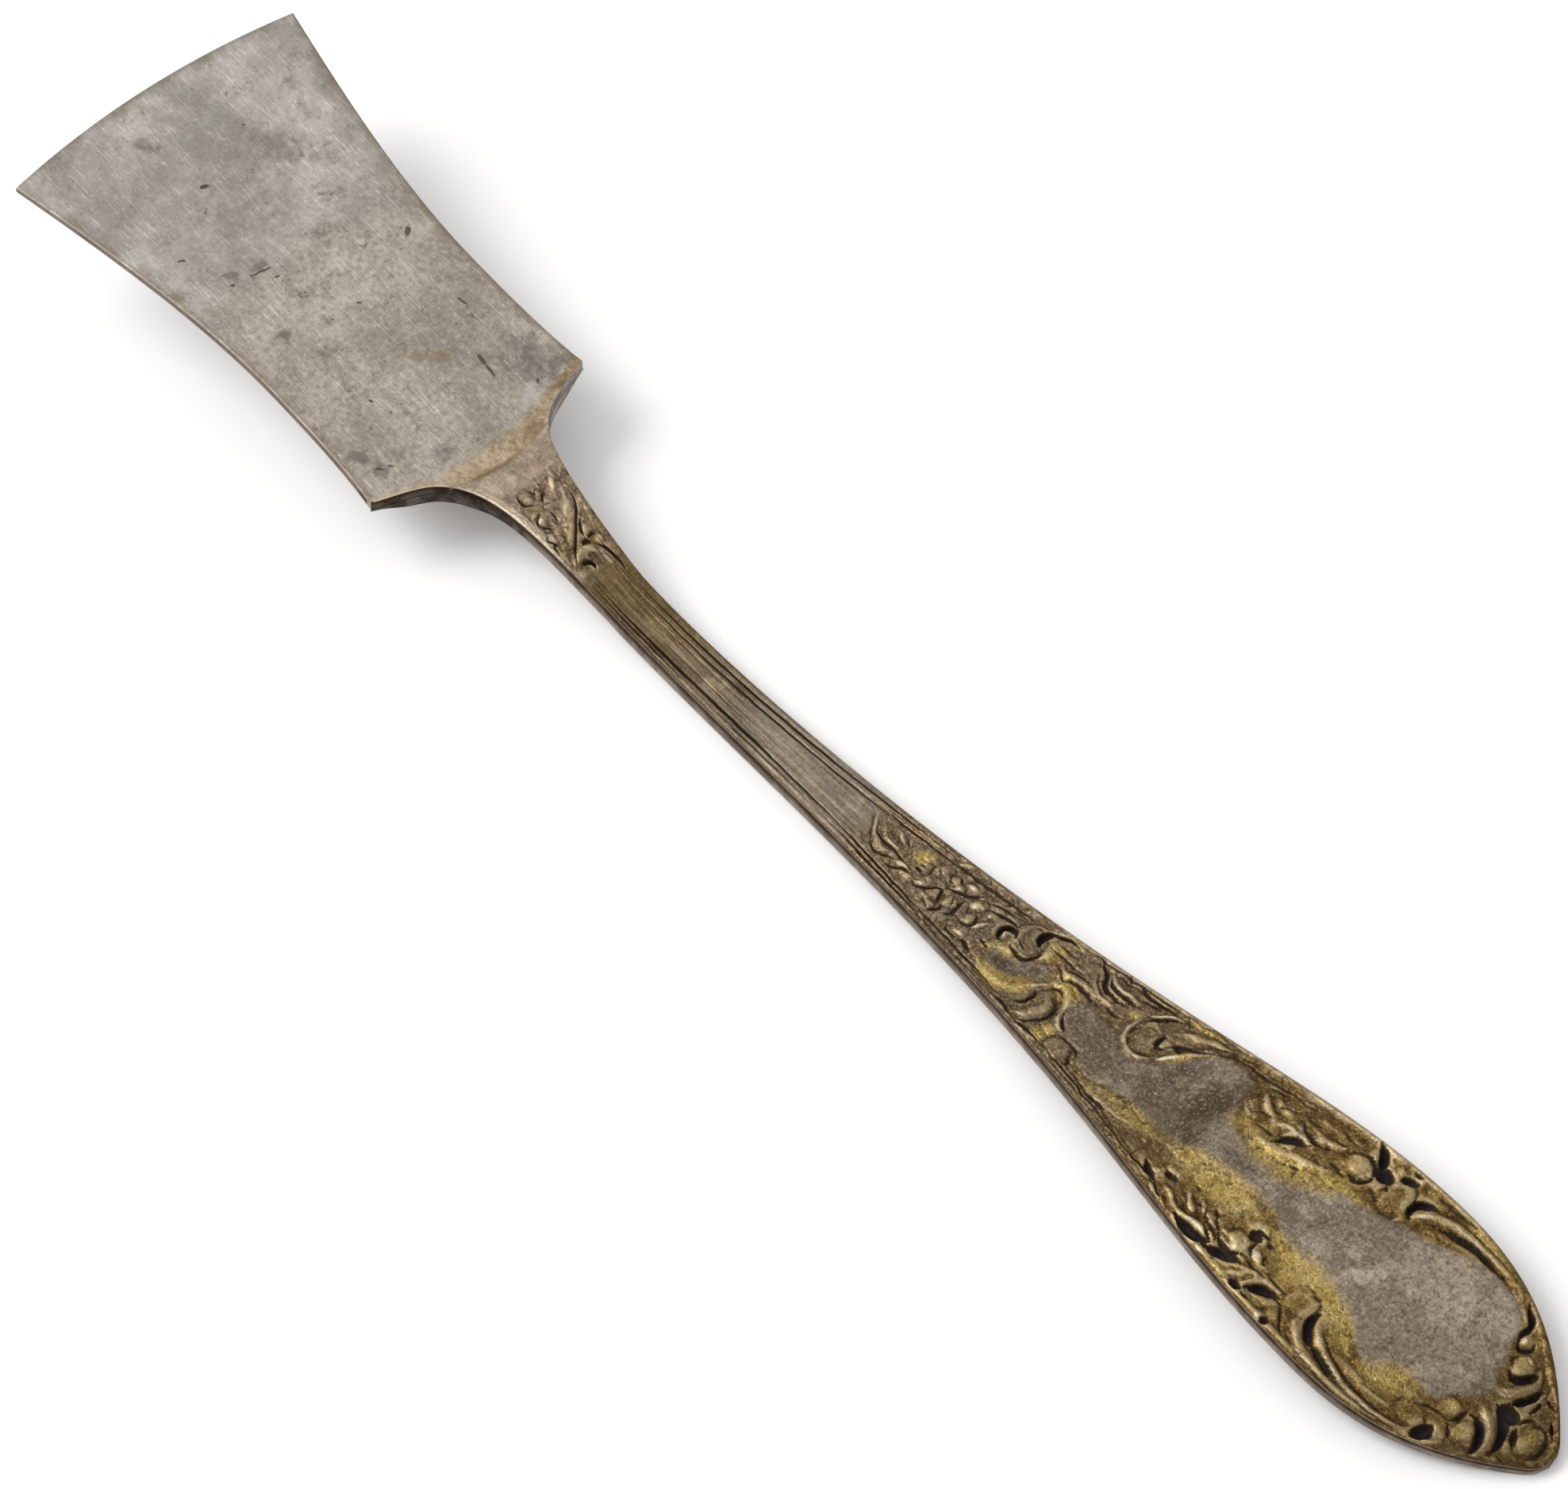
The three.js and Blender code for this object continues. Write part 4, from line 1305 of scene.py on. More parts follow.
# %% Leaf strokes and the large leaf scroll
press(cut, """
.1 .2: 94.1 1.2, 94.6 1.1, 95 .82, 95.4 .68, 95.8 .95, 96.5 1, 97.5 1.02, 98.7 1.02
.1 .17: 98.8 1.2, 99.4 1.22, 100.3 1.47
.1 .18: 94.8 1.3, 95.3 1.55, 96 1.66, 96.9 1.7
.09 .2: 93 1.8, 94 1.88, 95 1.9, 96.1 1.88
.15 .3: 95.9 3.75, 96.3 3.4, 96.8 3, 97.3 2.5, 98 2.2, 98.8 2.12, 99.7 2.3
.12 .24: 97.2 3.15, 97.6 2.85, 98.3 2.65, 99.2 2.62, 100.2 2.8
.1 .18: 98.05 4.05, 98.45 3.65
.13 .2: 98.9 4.1, 99.3 3.88, 100.3 3.72, 101.2 3.85, 102.2 4.15
.1 .17: 100.1 3.33, 100.9 3.5, 101.4 3.7
.08 .1: 93 2.35, 94.2 2.42, 95 2.5
.08 .1: 96.2 3, 97 2.2, 98 1.75, 99.3 1.7
.14 .34: 103.25 1.38, 103 1.7, 102.95 2.1, 103.15 2.5
.08 .16: 103.1 1.5, 103.5 1.6, 103.8 1.8
.13 .26: 103.7 1.9, 104 2.3, 104.4 2.6, 104.9 3, 105.5 3.45
.17 .34: 104.2 2.3, 104.6 2.45
.1 .22: 101.1 2.1, 101.4 2.5, 101.9 3.1, 102.5 3.6, 103.2 4.1
.13 .3: 101.6 2.85, 101.95 3.15
.09 .11: 101.4 .75, 101.9 .35, 102.6 .28
.07 .1: 105.2 3.7, 106.2 4.3, 107.4 4.7
""")
press(relief, """
.24 .17: 100.95 2.1, 100.85 1.4, 101.05 .75, 101.6 .22, 102.3 0, 103 .1, 103.5 .5, 103.95 1
.22 .15: 103.8 .8, 104.3 1.5, 104.8 2.2, 105.5 2.95, 106.5 3.65, 107.8 4.3
.35 .16: 103.1 2.9, 103.8 3.4, 104.8 3.9, 106 4.4, 107.3 4.85
.12 .12: 101.3 2.9, 102 3.55, 102.9 4.15
.3 .12: 96.4 2.4, 97.2 1.8, 98.3 1.5, 99.6 1.55
.2 .12: 96.9 3.6, 97.5 3.1, 98.3 2.9, 99.6 2.95, 100.6 3.1
.3 .12: 94 1.5, 95.2 1.2, 96.8 1.35, 98.4 1.3
""")
bud("""
102.2 1.2 1 1 .13
101.9 2.3 .7 .6 .1
""")
press(bright_wear_and_highlight, """
.1 .9: 100.95 2, 100.9 1.4, 101.1 .75, 101.6 .25, 102.3 .02, 103 .1, 103.5 .55
.13 1: 103.5 .7, 104 1.05, 104.4 1.6, 104.7 2.1
.08 .7: 104.9 3.1, 105.7 3.6, 106.6 4
.09 1: 101.5 3, 102.1 3.6, 102.9 4.15
.08 .6: 97 3.4, 97.7 2.95, 98.8 2.85, 100 3
.06 .5: 103 1.9, 103.3 2.4
""")
tell("leaf scroll")

# %% Leaf fan and berry on the far side
press(cut, """
.1 .17: 111.6 2.1, 112.3 2.22, 113 2.15
.28 .42: 113.2 1.9, 113.6 2.4, 113.9 2.8, 114.3 3.1, 115.1 3.42
.26 .5: 119.4 5.3, 118.9 5.95, 118.4 6.4, 117.9 6.8
.14 .2: 113.4 4.6, 113.8 4.2, 114.4 3.92, 115 3.8, 115.6 3.9, 116.1 4.15
.09 .12: 110.2 4.5, 111.2 4.85, 112 4.95
.08 .1: 111.2 3.8, 112.3 4.3, 113.2 4.75
.09 .13: 112.9 4.95, 114 4.78, 115 4.85
.09 .12: 116 2.88, 116.8 2.95, 117.2 3.25
.1 .2: 116.8 3.55, 117.5 3.5, 118.2 3.4
.16 .28: 118 3.85, 118.5 3.7, 119 3.9, 119.3 4.3, 119.25 4.8
.15 .28: 119.2 4.7, 118.9 5.3, 118.3 5.6, 117.9 5.5
.22 .4: 119.3 5.5, 119 6, 118.5 6.45, 118.1 6.7
.12 .14: 119.5 4, 120.2 3.92, 120.9 3.6
.1 .14: 120.3 4.85, 120.65 4.6
.08 .1: 115.7 5.8, 116.5 5.5, 117.3 5.65
.08 .12: 115.5 5.05, 116.2 4.85, 116.8 5.25
.08 .1: 116.7 5, 117.3 4.65
.08 .1: 113.9 1.3, 114.8 1.3, 115.7 1.6
.13 .13: 115.3 1.5, 115.9 1.7
.08 .08: 110.4 3.4, 111.2 3, 112.2 2.9
.08 .08: 110.7 4.1, 111.7 3.7, 112.8 3.7
.26 .5: 122.95 4.3, 122.6 4.6, 122.47 5, 122.62 5.5, 123 5.85, 123.7 6.12
.2 .42: 124.2 5.15, 125 5.4, 125.8 5.65, 126.8 5.92, 128 6, 129.6 5.95
.07 .1: 125 6.5, 127 6.62, 129 6.6, 130.7 6.35
.18 .42: 131.7 6.05, 132.3 5.6, 132.8 5.2, 132.95 4.7, 132.88 4.25, 133.15 3.75
.16 .38: 133.1 3.8, 133.5 3.5, 133.85 3.7, 134.05 4.1, 133.9 4.45
.08 .12: 122.9 6.7, 124.5 6.85, 126.5 6.95
.07 .08: 123.8 4.1, 124.9 4.7, 125.8 4.95
""")
dot(cut, """
119.65 5.25 .75 .5 .5
121.05 6.1 .6 .3 .42 25
121.1 6.85 .4 .12 .25
""")
press(relief, """
.2 .15: 112.2 2.9, 113 3.25, 113.9 3.5, 115 3.62
.3 .14: 110.2 4.2, 111.2 3.5, 112.3 3, 113.2 2.9
.3 .12: 110.9 4.5, 112 4.1, 113.2 4
.35 .14: 114.2 1.9, 115.4 2.3, 116.4 2.6, 117.6 3
.3 .12: 112 1.6, 113.5 1.5, 115 1.9
.25 .13: 114.3 4.4, 115.2 4.3, 116.2 4.6, 117 5.1
.2 .1: 113.8 5.2, 115 5.2, 116.2 5.4
.3 .2: 123.05 4.7, 123.3 5.15, 123.8 5.55, 124.6 5.9, 125.6 6.2, 127 6.38
.28 .17: 126.5 6.32, 128.5 6.38, 130 6.2, 131.3 5.8, 132.3 5.3
.25 .12: 119.8 6.5, 120.6 6.1
.13 .1: 122 7, 125 7.15, 128 7
""")
bud("""
118 4.65 .8 .8 .22
121.4 4.7 1 1.3 .17
133.4 4.25 .28 .35 .2
120.9 5.6 .4 .3 .12
117.4 4.1 .4 .3 .12
""")
press(bright_wear_and_highlight, """
.1 .9: 112.4 3, 113.2 3.35, 114 3.55, 114.8 3.6
.1 .8: 110 2.6, 110.6 2.3, 111.1 2
.08 .6: 109.9 3.1, 110.5 2.7, 111.2 2.5
.09 .8: 118.5 4, 118.85 4.4, 118.9 4.9
.12 1: 119.9 5.9, 120.3 5.75
.1 .8: 120.9 6.6, 121.4 6.55, 121.8 6.6
.1 .8: 122.3 3.5, 122.45 3.9, 122.35 4.2
.12 1: 123.05 4.7, 123.3 5.1, 123.75 5.5
.07 1: 124.2 5.6, 125 5.95, 126 6.15, 127.5 6.28, 129 6.22
.07 .7: 130 6, 131 5.6, 132 5.2, 132.7 4.85
.08 .7: 122.5 7.15, 125 7.2, 127.5 7.1
""")
dot(bright_wear_and_highlight, """
133.38 4.1 .2 .2 1
121.2 6.5 .3 .15 .9
113.8 3.9 .3 .15 .6
115.8 2.1 .3 .12 .7
""")
tell("leaf fan")

# %% Flame leaves on the near side
press(cut, """
.24 .4: 109 -4.6, 109.6 -4.9, 110.3 -5.15
.42 .5: 113.2 -5.95, 114.3 -6.15, 115.2 -6.1, 116.1 -5.8
.36 .5: 116.1 -6.2, 116.8 -5.85, 117.5 -5.6, 118.5 -5.35
.32 .5: 119.8 -6.3, 120.4 -5.9, 121 -5.5, 121.8 -5.2
.1 .15: 107.8 -5, 109 -5.15, 110.2 -5.15
.09 .14: 110.4 -5.1, 111 -5.5, 111.6 -5.9, 112.1 -6.1
.17 .32: 110.4 -4.3, 111 -4.32, 111.6 -4.12
.11 .2: 114.2 -4.3, 114.5 -4.7, 115 -4.95, 115.8 -5.15, 116.4 -5.5
.1 .2: 115 -5.2, 115.6 -5.5, 116.3 -5.85
.25 .45: 116.3 -6.15, 116.7 -5.85, 117.2 -5.6, 118.1 -5.35
.17 .3: 116 -5.02, 116.6 -5.2, 117.4 -5.2, 118.2 -4.9
.16 .24: 114.6 -3.85, 115 -3.98, 115.3 -3.85
.12 .2: 115 -4, 115.4 -4.35, 115.8 -4.75, 116.2 -5
.1 .18: 118 -3.5, 118.1 -4, 118.4 -4.45, 118.7 -4.7
.1 .15: 119 -3.75, 119.4 -4.3, 119.9 -4.55
.1 .15: 118.2 -4.75, 118.9 -4.95, 119.6 -5.02, 120.3 -4.95
.09 .13: 120 -4.62, 121 -4.7, 122 -4.85
.28 .48: 120 -6.2, 120.4 -5.8, 120.85 -5.45, 121.4 -5.25
.09 .15: 121.5 -5.4, 122.2 -5.55, 122.8 -6.1, 123.3 -6.6, 124 -6.9
.09 .11: 112.9 -4.1, 113.6 -4.4, 114.2 -4.4
.08 .1: 111.4 -4.8, 112.4 -5.2, 113.2 -5.5
.08 .1: 111.8 -4.4, 112.6 -4.6, 113.3 -5
.09 .13: 115.8 -6.4, 116 -6.1, 116.4 -6.1
.08 .12: 117 -2.75, 118 -3, 119 -3.15
.06 .08: 119.4 -6.5, 120.3 -6.4, 121 -6.6
.08 .1: 121 -6.9, 121.6 -6.4, 122 -6
""")
dot(cut, """
117.65 -3.38 .5 .32 .42 -20
118.8 -3.25 .32 .14 .16
119.3 -6.65 .45 .24 .4
120.3 -6.75 .42 .12 .25
122.3 -7 .3 .3 .42
112.9 -3.7 .4 .1 .12
""")
press(relief, """
.25 .17: 110.5 -4.7, 111.5 -5.1, 112.6 -5.5, 113.5 -5.62, 114.4 -5.45, 115.1 -5.45, 116.2 -5.85
.25 .15: 110.4 -5.4, 111.2 -5.9, 112.4 -6.1
.3 .16: 112.4 -4.2, 113.2 -4.7, 114.2 -5.2
.25 .14: 113.4 -4.1, 114.6 -4.6, 115.8 -5
.25 .16: 118.3 -5.8, 119.2 -5.45, 120 -5.05, 121.2 -4.95
.2 .15: 119.4 -6.4, 119.8 -5.8, 120.3 -5.2
.25 .15: 118 -6.4, 118.9 -6.1, 119.5 -5.5
.3 .16: 116.2 -4.4, 117.2 -4.5, 118 -4.9
.3 .16: 118.3 -4, 119 -4.35, 120 -4.6
.2 .12: 121.2 -6.3, 121.8 -5.8, 122.3 -5.2
""")
bud("""
117.3 -4.3 .9 .6 .14 -20
118.6 -4.35 .5 .32 .18
118 -6.4 1 .5 .12
111.5 -5.3 .9 .4 .1 20
122.4 -6.4 .5 .4 .1
""")
press(bright_wear_and_highlight, """
.12 .9: 113.4 -5.65, 114.2 -5.5, 114.8 -5.45, 115.6 -5.65
.09 .7: 113.1 -6.15, 113.5 -5.95
.1 .7: 117.4 -4.3, 117.9 -4.5, 118.5 -4.65
.09 .7: 119.3 -4.5, 120.3 -4.65
.09 .8: 118.7 -5.6, 119.4 -5.3, 119.9 -5.05
.08 .7: 119.9 -5.8, 120.3 -5.25, 120.7 -5.1
.09 .7: 118.6 -6.9, 119 -6.5, 118.9 -6.2
.08 .8: 114 -6.45, 115.4 -6.55
.07 .6: 110 -5.5, 109.3 -5.45
.08 .7: 119.5 -6.25, 120.2 -6.42, 120.6 -6.4
""")
dot(bright_wear_and_highlight, """
117.2 -4.85 .4 .2 .6 -15
118.7 -4.3 .5 .24 1 -10
116 -6.6 .3 .14 1
111.2 -3.9 .4 .14 .6
121.9 -7 .35 .35 .7
""")
tell("flame leaves")

# %% Long scrolls on the near side
press(cut, """
.32 .5: 124.2 -4.05, 124.15 -4.7, 124.4 -5.3, 124.95 -5.75, 125.6 -6
.18 .34: 125.2 -5.9, 126.4 -6.15, 127.2 -6.3, 128.1 -6.35
.09 .15: 125 -4.7, 125.8 -5.1, 126.8 -5.55, 128 -5.8, 129.5 -5.9, 130.8 -5.85, 132 -5.6
.08 .13: 128.8 -6.55, 130.5 -6.4, 131.8 -6.15, 132.9 -5.7
.08 .12: 124 -6.85, 126 -7.08, 128 -7.15, 130 -7, 131.6 -6.7
.38 .5: 133.5 -5.35, 133.85 -4.95, 134.05 -4.5, 134 -4
.1 .16: 132 -3.85, 132.6 -3.3, 133.1 -3.05, 133.8 -2.97, 134.3 -2.95
.11 .17: 134.3 -3.1, 134.7 -3.42, 135.15 -3.85
.13 .24: 134.3 -2.95, 134.52 -2.4, 134.5 -1.9, 134.4 -1.5
.08 .12: 122.2 -3.3, 123 -3.5, 123.8 -3.8, 124.3 -4.1
.07 .07: 128.5 -5.3, 130 -5.2, 131.5 -4.8
.07 .07: 130.5 -4.5, 131.8 -4.2
""")
press(relief, """
.34 .2: 123.4 -4.7, 123.55 -5.5, 124.05 -6.1, 124.8 -6.5, 125.8 -6.72, 127 -6.82, 128.2 -6.85
.25 .2: 124.65 -4.5, 124.95 -5, 125.6 -5.42, 126.5 -5.82, 127.7 -6.12, 129 -6.25
.25 .18: 128 -6.2, 129.5 -6.25, 130.8 -6.12, 131.9 -5.85, 132.9 -5.4
.3 .17: 128 -6.9, 130 -6.75, 131.5 -6.45, 133 -5.95, 134 -5.4, 134.65 -4.8, 134.9 -4.2, 134.6 -3.5
.4 .12: 126.5 -5.1, 128 -5.3, 130 -5.3, 132 -4.9
""")
bud("""
122.9 -4.4 1.1 1 .17
132.4 -4.3 1 .8 .1
""")
press(bright_wear_and_highlight, """
.16 1: 123.3 -5.6, 123.9 -5.9, 124.5 -6.35, 125.5 -6.6
.08 1: 124.8 -4.85, 125.5 -5.35, 126.4 -5.78
.1 1: 126.2 -5.8, 127.2 -6.1, 128.2 -6.25, 129.5 -6.28, 130.6 -6.15
.09 .8: 127.2 -6.75, 128.6 -6.85, 130 -6.7
.1 .9: 127.8 -7.3, 129.5 -7.2, 131 -6.95, 132.4 -6.5
.07 .6: 134.3 -5.2, 134.75 -4.6, 134.8 -4
""")
tell("long scrolls")

# %% Nose: bulbs, crossed scrolls and the shell
press(cut, """
.26 .5: 134.8 -1.6, 135.3 -1.55, 135.8 -1.8, 136.2 -2.3, 136.5 -2.9, 136.55 -3.5
.22 .5: 135.3 .05, 135.9 -.25, 136.5 -.7, 137 -1.3, 137.3 -1.9, 137.35 -2.6
.2 .4: 137.2 -.1, 137.45 -.7, 137.85 -1.15
.24 .5: 135.7 .6, 136.15 1.3, 136.38 2, 136.35 2.75
.24 .48: 134.1 2.05, 134.6 1.92, 135.1 2.2, 135.38 2.7, 135.4 3.15
.09 .13: 133.85 3.2, 133.72 2.85, 134 2.5
.12 .2: 136.9 1, 137 1.6, 136.9 2.3
.1 .18: 139.02 -1, 139.2 -.4, 139.15 .2, 139 .8
.12 .2: 138.9 1.15, 138.5 1.5, 138.2 1.75
.13 .17: 137 0, 137.15 .6, 137.6 1.1
.08 .14: 136.8 2.62, 137.2 2.47, 137.9 2.38
.08 .1: 137.6 -2.2, 138.4 -2.3
.09 .12: 137.1 -3, 137.25 -3.6, 137 -4.1
.06 .07: 134.1 3.5, 134.6 3.3, 135 3.4
.06 .07: 134.2 3.8, 134.8 3.6, 135.2 3.7
""")
dot(cut, """
136.2 .15 .8 .6 .5 10
136.85 -.95 .28 .95 .5 25
133.75 -4.65 .45 .85 .5 -18
135.25 2.5 .3 .75 .45 -22
""")
press(relief, """
.36 .22: 134.3 -.55, 135 -.72, 135.8 -1.05, 136.4 -1.5, 136.8 -2.2, 136.95 -3, 136.85 -3.8
.36 .22: 134.3 .85, 135 1.05, 135.55 1.5, 135.85 2.2, 135.85 2.9, 135.5 3.5
.1 .25: 136.25 1.1, 136.6 1.6, 136.7 2.2, 136.6 2.8
.1 .25: 136.3 -.1, 136.8 -.7, 137.2 -1.15
.25 .13: 137.5 -2, 137.9 -2.9, 137.6 -3.8
.3 .1: 136.4 3.4, 137.2 3, 138 2.6
""")
bud("""
133.65 -2.15 .68 .6 .17
135.3 -2.75 .62 .85 .22 -20
134.55 3 .68 .7 .2
138.3 -.1 .75 1.1 .2
134.2 4.7 .7 .5 .1
""")
# painted highlights along the rims of the end
beside_edge(bright_wear_and_highlight, """
.16 .55: 1 .12 78 132
.34 .45: 1 .2 106 126
.18 .6: -1 .4 122 133
""")
dot(bright_wear_and_highlight, """
40.9 -.7 .6 .5 .5
40.8 -2.1 .7 .5 .35
41.4 .9 .6 .5 .25
""", power=1.0)
press(bright_wear_and_highlight, """
.1 1: 134.5 -1.15, 135.3 -1.1, 136 -1.5, 136.5 -2.1, 136.7 -2.8
.12 1: 134.5 .65, 135 .7, 135.4 .85
.07 1: 136.25 1.1, 136.6 1.6, 136.68 2.2
.07 .8: 136.4 -.2, 136.8 -.7, 137.15 -1.1
.1 .8: 134 2.4, 134.5 2.35, 134.9 2.6
.08 .7: 137.9 -.6, 138.4 -.7
.06 .7: 131.4 5.6, 132.3 5.15, 132.75 4.7
""")
tell("nose")

# %% What is left of the gilding
press(gilt, """
0.8 .55: 100.6 -3.5, 102.5 -3.4, 105 -3.2, 108 -3.1, 109.5 -3
0.93 1.1: 108 -3, 110 -2.9, 112 -2.6, 114 -2.4, 116 -2.2, 118 -2.3
0.5 1.3: 109.5 -2.8, 111.5 -2.5, 113.5 -2.3, 116 -2
0.5 1.3: 119 -2.8, 121 -2.9, 123.5 -3, 125 -3.4
0.93 1: 117 -2.2, 118.6 -2.5, 120 -2.9, 122 -3, 124 -3.15, 125.6 -3.7, 127 -4.6, 128.2 -4.9
0.93 .9: 127.5 -4.8, 129 -4.4, 130 -3.8, 131 -3.6, 132.4 -3.4
0.78 .9: 110.2 3.4, 110.5 2.3, 111.4 1.5, 112.6 1.1, 114 1, 115.4 1.2, 117 1.9, 118.4 2.6, 120 3,
 121.8 3.3
0.68 .8: 89.5 -2, 90.6 -2.15, 92 -2.25, 93.2 -2, 94 -1.3, 94.6 -.5, 95.4 .2
0.5 .8: 89.4 -1.5, 90 -.8, 90.9 -.3, 92 -.15, 92.8 .3
0.75 .75: 92.9 .5, 93.3 1.3, 93.4 2.1, 94 2.6
.45 1: 97 -2.6, 97.6 -2.4, 98.3 -2.2
0.78 .9: 97 -3.2, 97.8 -3.4
0.78 .9: 95.3 .3, 96.2 .3, 96.9 -.2, 97.2 -1
0.62 .6: 99.8 2.1, 100.6 2.2, 101.1 2.6
0.78 .8: 94.3 .8, 95.5 .45, 96.6 .55
0.46 .6: 103 4.3, 104.5 4.4, 106 4.7
.35 .7: 92.6 3.2, 94 3.1, 95 3.05
.45 .8: 103.9 .8, 104.5 1.5, 105 2.4, 105.7 3.1
.6 .5: 109.8 2.2, 110.4 1.2, 111.6 .6
0.62 .5: 124 6.6, 127 6.7, 130 6.6
.35 .6: 121.8 6.6, 123.5 6.5
0.46 .5: 111 -4.9, 112.5 -5.4, 113 -5.8
0.62 .7: 117 -6.5, 118 -6.7, 118.7 -6.4
0.62 .5: 112.5 -3.6, 115 -3.3, 117 -2.9
0.46 .7: 118 -5.9, 118.8 -5.4
""")
dot(gilt, """
82 .75 .85 .75 1
81.9 .1 .4 .5 .4
82.2 -1 .7 .4 .7
84.8 1 .5 .35 .5
87.2 .7 .6 .4 .6
133.7 -2.1 .6 .5 .8
135.4 -2.8 .5 .6 .6
134.4 3.4 .7 .4 .6
138.2 0 .6 .8 .5
118 4.6 .6 .6 .6
121 -4 1 .5 .7
130.8 -3.4 1.2 .8 .8
124.6 4.4 .8 .5 .6
127.6 4.8 1 .6 .4
115.5 2.3 1.3 .5 .6 20
112.6 3.6 1.5 .7 .5
135.9 3.9 .8 .4 .5
47.9 .9 .5 .4 .4
""")
print("gilding is left on", int((gilt > 0).sum()), "points")

# %% Blotches on the plain field
gloom = top.blank()
dot(gloom, """
108.7 1 1.5 3 1
109.2 -1.7 1.3 1 .9
105.6 1.4 1.6 1.8 .6
107 -1 1.6 1.2 .5
99.4 -.9 1.6 .9 .35
103.2 -1.5 1.8 .8 .45
113.2 -.5 2.2 .8 .6
128.2 -1.9 .9 2 .35
131.6 1.8 1.6 1.6 .4
126 2.8 2 1 .3
91.6 -1.2 1.6 .7 .8
93.6 -.2 .9 .5 .7
""", power=1.0)
press(gloom, """
.2 1.2: 120.7 -2.3, 120.2 -1, 119.7 .5
.16 1: 119.1 -1.2, 119.6 .2, 119.8 1.3
.14 .8: 117.6 .6, 118.9 .9, 120.1 .7
.18 1.1: 128.5 -3.3, 128.3 -2.2, 128.6 -1.2
.16 1: 130 -3.1, 130.1 -2, 129.9 -.9
.14 .9: 123.3 -.4, 124.6 .9, 125.4 1.4
.14 .8: 126.4 .2, 127.7 -.3, 129 -.1
""")
glow = top.blank()
dot(glow, """
120.5 -1.2 2.2 1.3 .9
119 1.2 1.6 1.2 .6
123.5 .2 2.4 1.8 .5
126 -1.2 1.8 1.4 .5
129.5 2.6 1.6 1.2 .4
100.9 -1.6 .9 .5 .4
""", power=1.0)
print("field has", int((gloom > 0).sum()), "dark and", int((glow > 0).sum()), "light points")

# %% Fine chasing
in_neck = ease((top_x - 41.5) / 1.2) * ease((50.5 - top_x) / 1.5)
in_cluster = ease((top_x - 80) / 2) * ease((89.5 - top_x) / 1)
chased = np.clip(ease((top_x - 76) / 3) + in_neck, 0, 1) * (1 - plain)
fineness = along("76 .6, 81 .6, 84 1, 89 .9, 92 .4, 97 .8, 112 .9, 120 .7, 124 .12")
fineness = chased * fineness * (1 - 0.8 * ease(relief / 0.12))
flow = top_gap + 0.3 * rumple(top_x, top_y, 1.6, 4)
line_gap = np.abs(rumple(0.22 * top_x, flow, 0.33, 5))
crease_gap = np.abs(rumple(top_x + 0.3 * flow, flow, 0.6, 6))
chase = np.clip(1 - line_gap / 0.22, 0, 1) * 0.06 * (1 - 0.5 * in_cluster)
chase = np.maximum(chase, np.clip(1 - crease_gap / 0.14, 0, 1) * (0.02 + 0.05 * in_cluster))
petal = rumple(top_x, top_y, 0.55, 7) * 0.022 + rumple(top_x, top_y, 0.27, 8) * 0.012
cut = np.maximum(cut, chase * fineness)
print("fine chasing covers", int((chase * fineness > 0.03).sum()), "points")

# %% Height of the struck top
FIELD_LEVEL = -0.1
VALLEY_LEVEL = -0.17
GROUND_LEVEL = -0.13
DEEP_CUT = 0.18
CRISPNESS = 0.3
RELIEF_ON_FIELD = 0.15
NECK_LEVEL = -0.06
PLAIN_RIM = 0.3


def above_neighbours(grid):
    """How far each point stands above the mean of those around it."""
    return grid - soften(soften(grid, 4, 3), 4, 3)


raised = soften(relief, 1, 1) * mix(1, RELIEF_ON_FIELD, plain)
sunk = soften(soften(np.maximum(cut - DEEP_CUT, 0), 1, 1), 1, 1) + np.minimum(cut, DEEP_CUT)
ground = mix(GROUND_LEVEL, FIELD_LEVEL, plain) + (VALLEY_LEVEL - GROUND_LEVEL) * valley
petals = petal * (1 + in_cluster) * fineness * ease(top_gap / 0.5)
ground = ground * ornamented + NECK_LEVEL * in_neck * ease(top_gap / 0.6 - 0.3) + petals
struck = ground + ease(top_gap / PLAIN_RIM) * (raised - sunk * (1 - 0.3 * ease(PLAIN_RIM - top_gap)))
struck = np.where(is_palm, 0, struck * ease(top_x - 41))
struck = struck + CRISPNESS * chased * above_neighbours(struck)
print("relief from", round(float(struck.min()), 2), "to", round(float(struck.max()), 2), "mm")

# %% Painted values and the handle
seam = seam_paint(top_x, top_y)
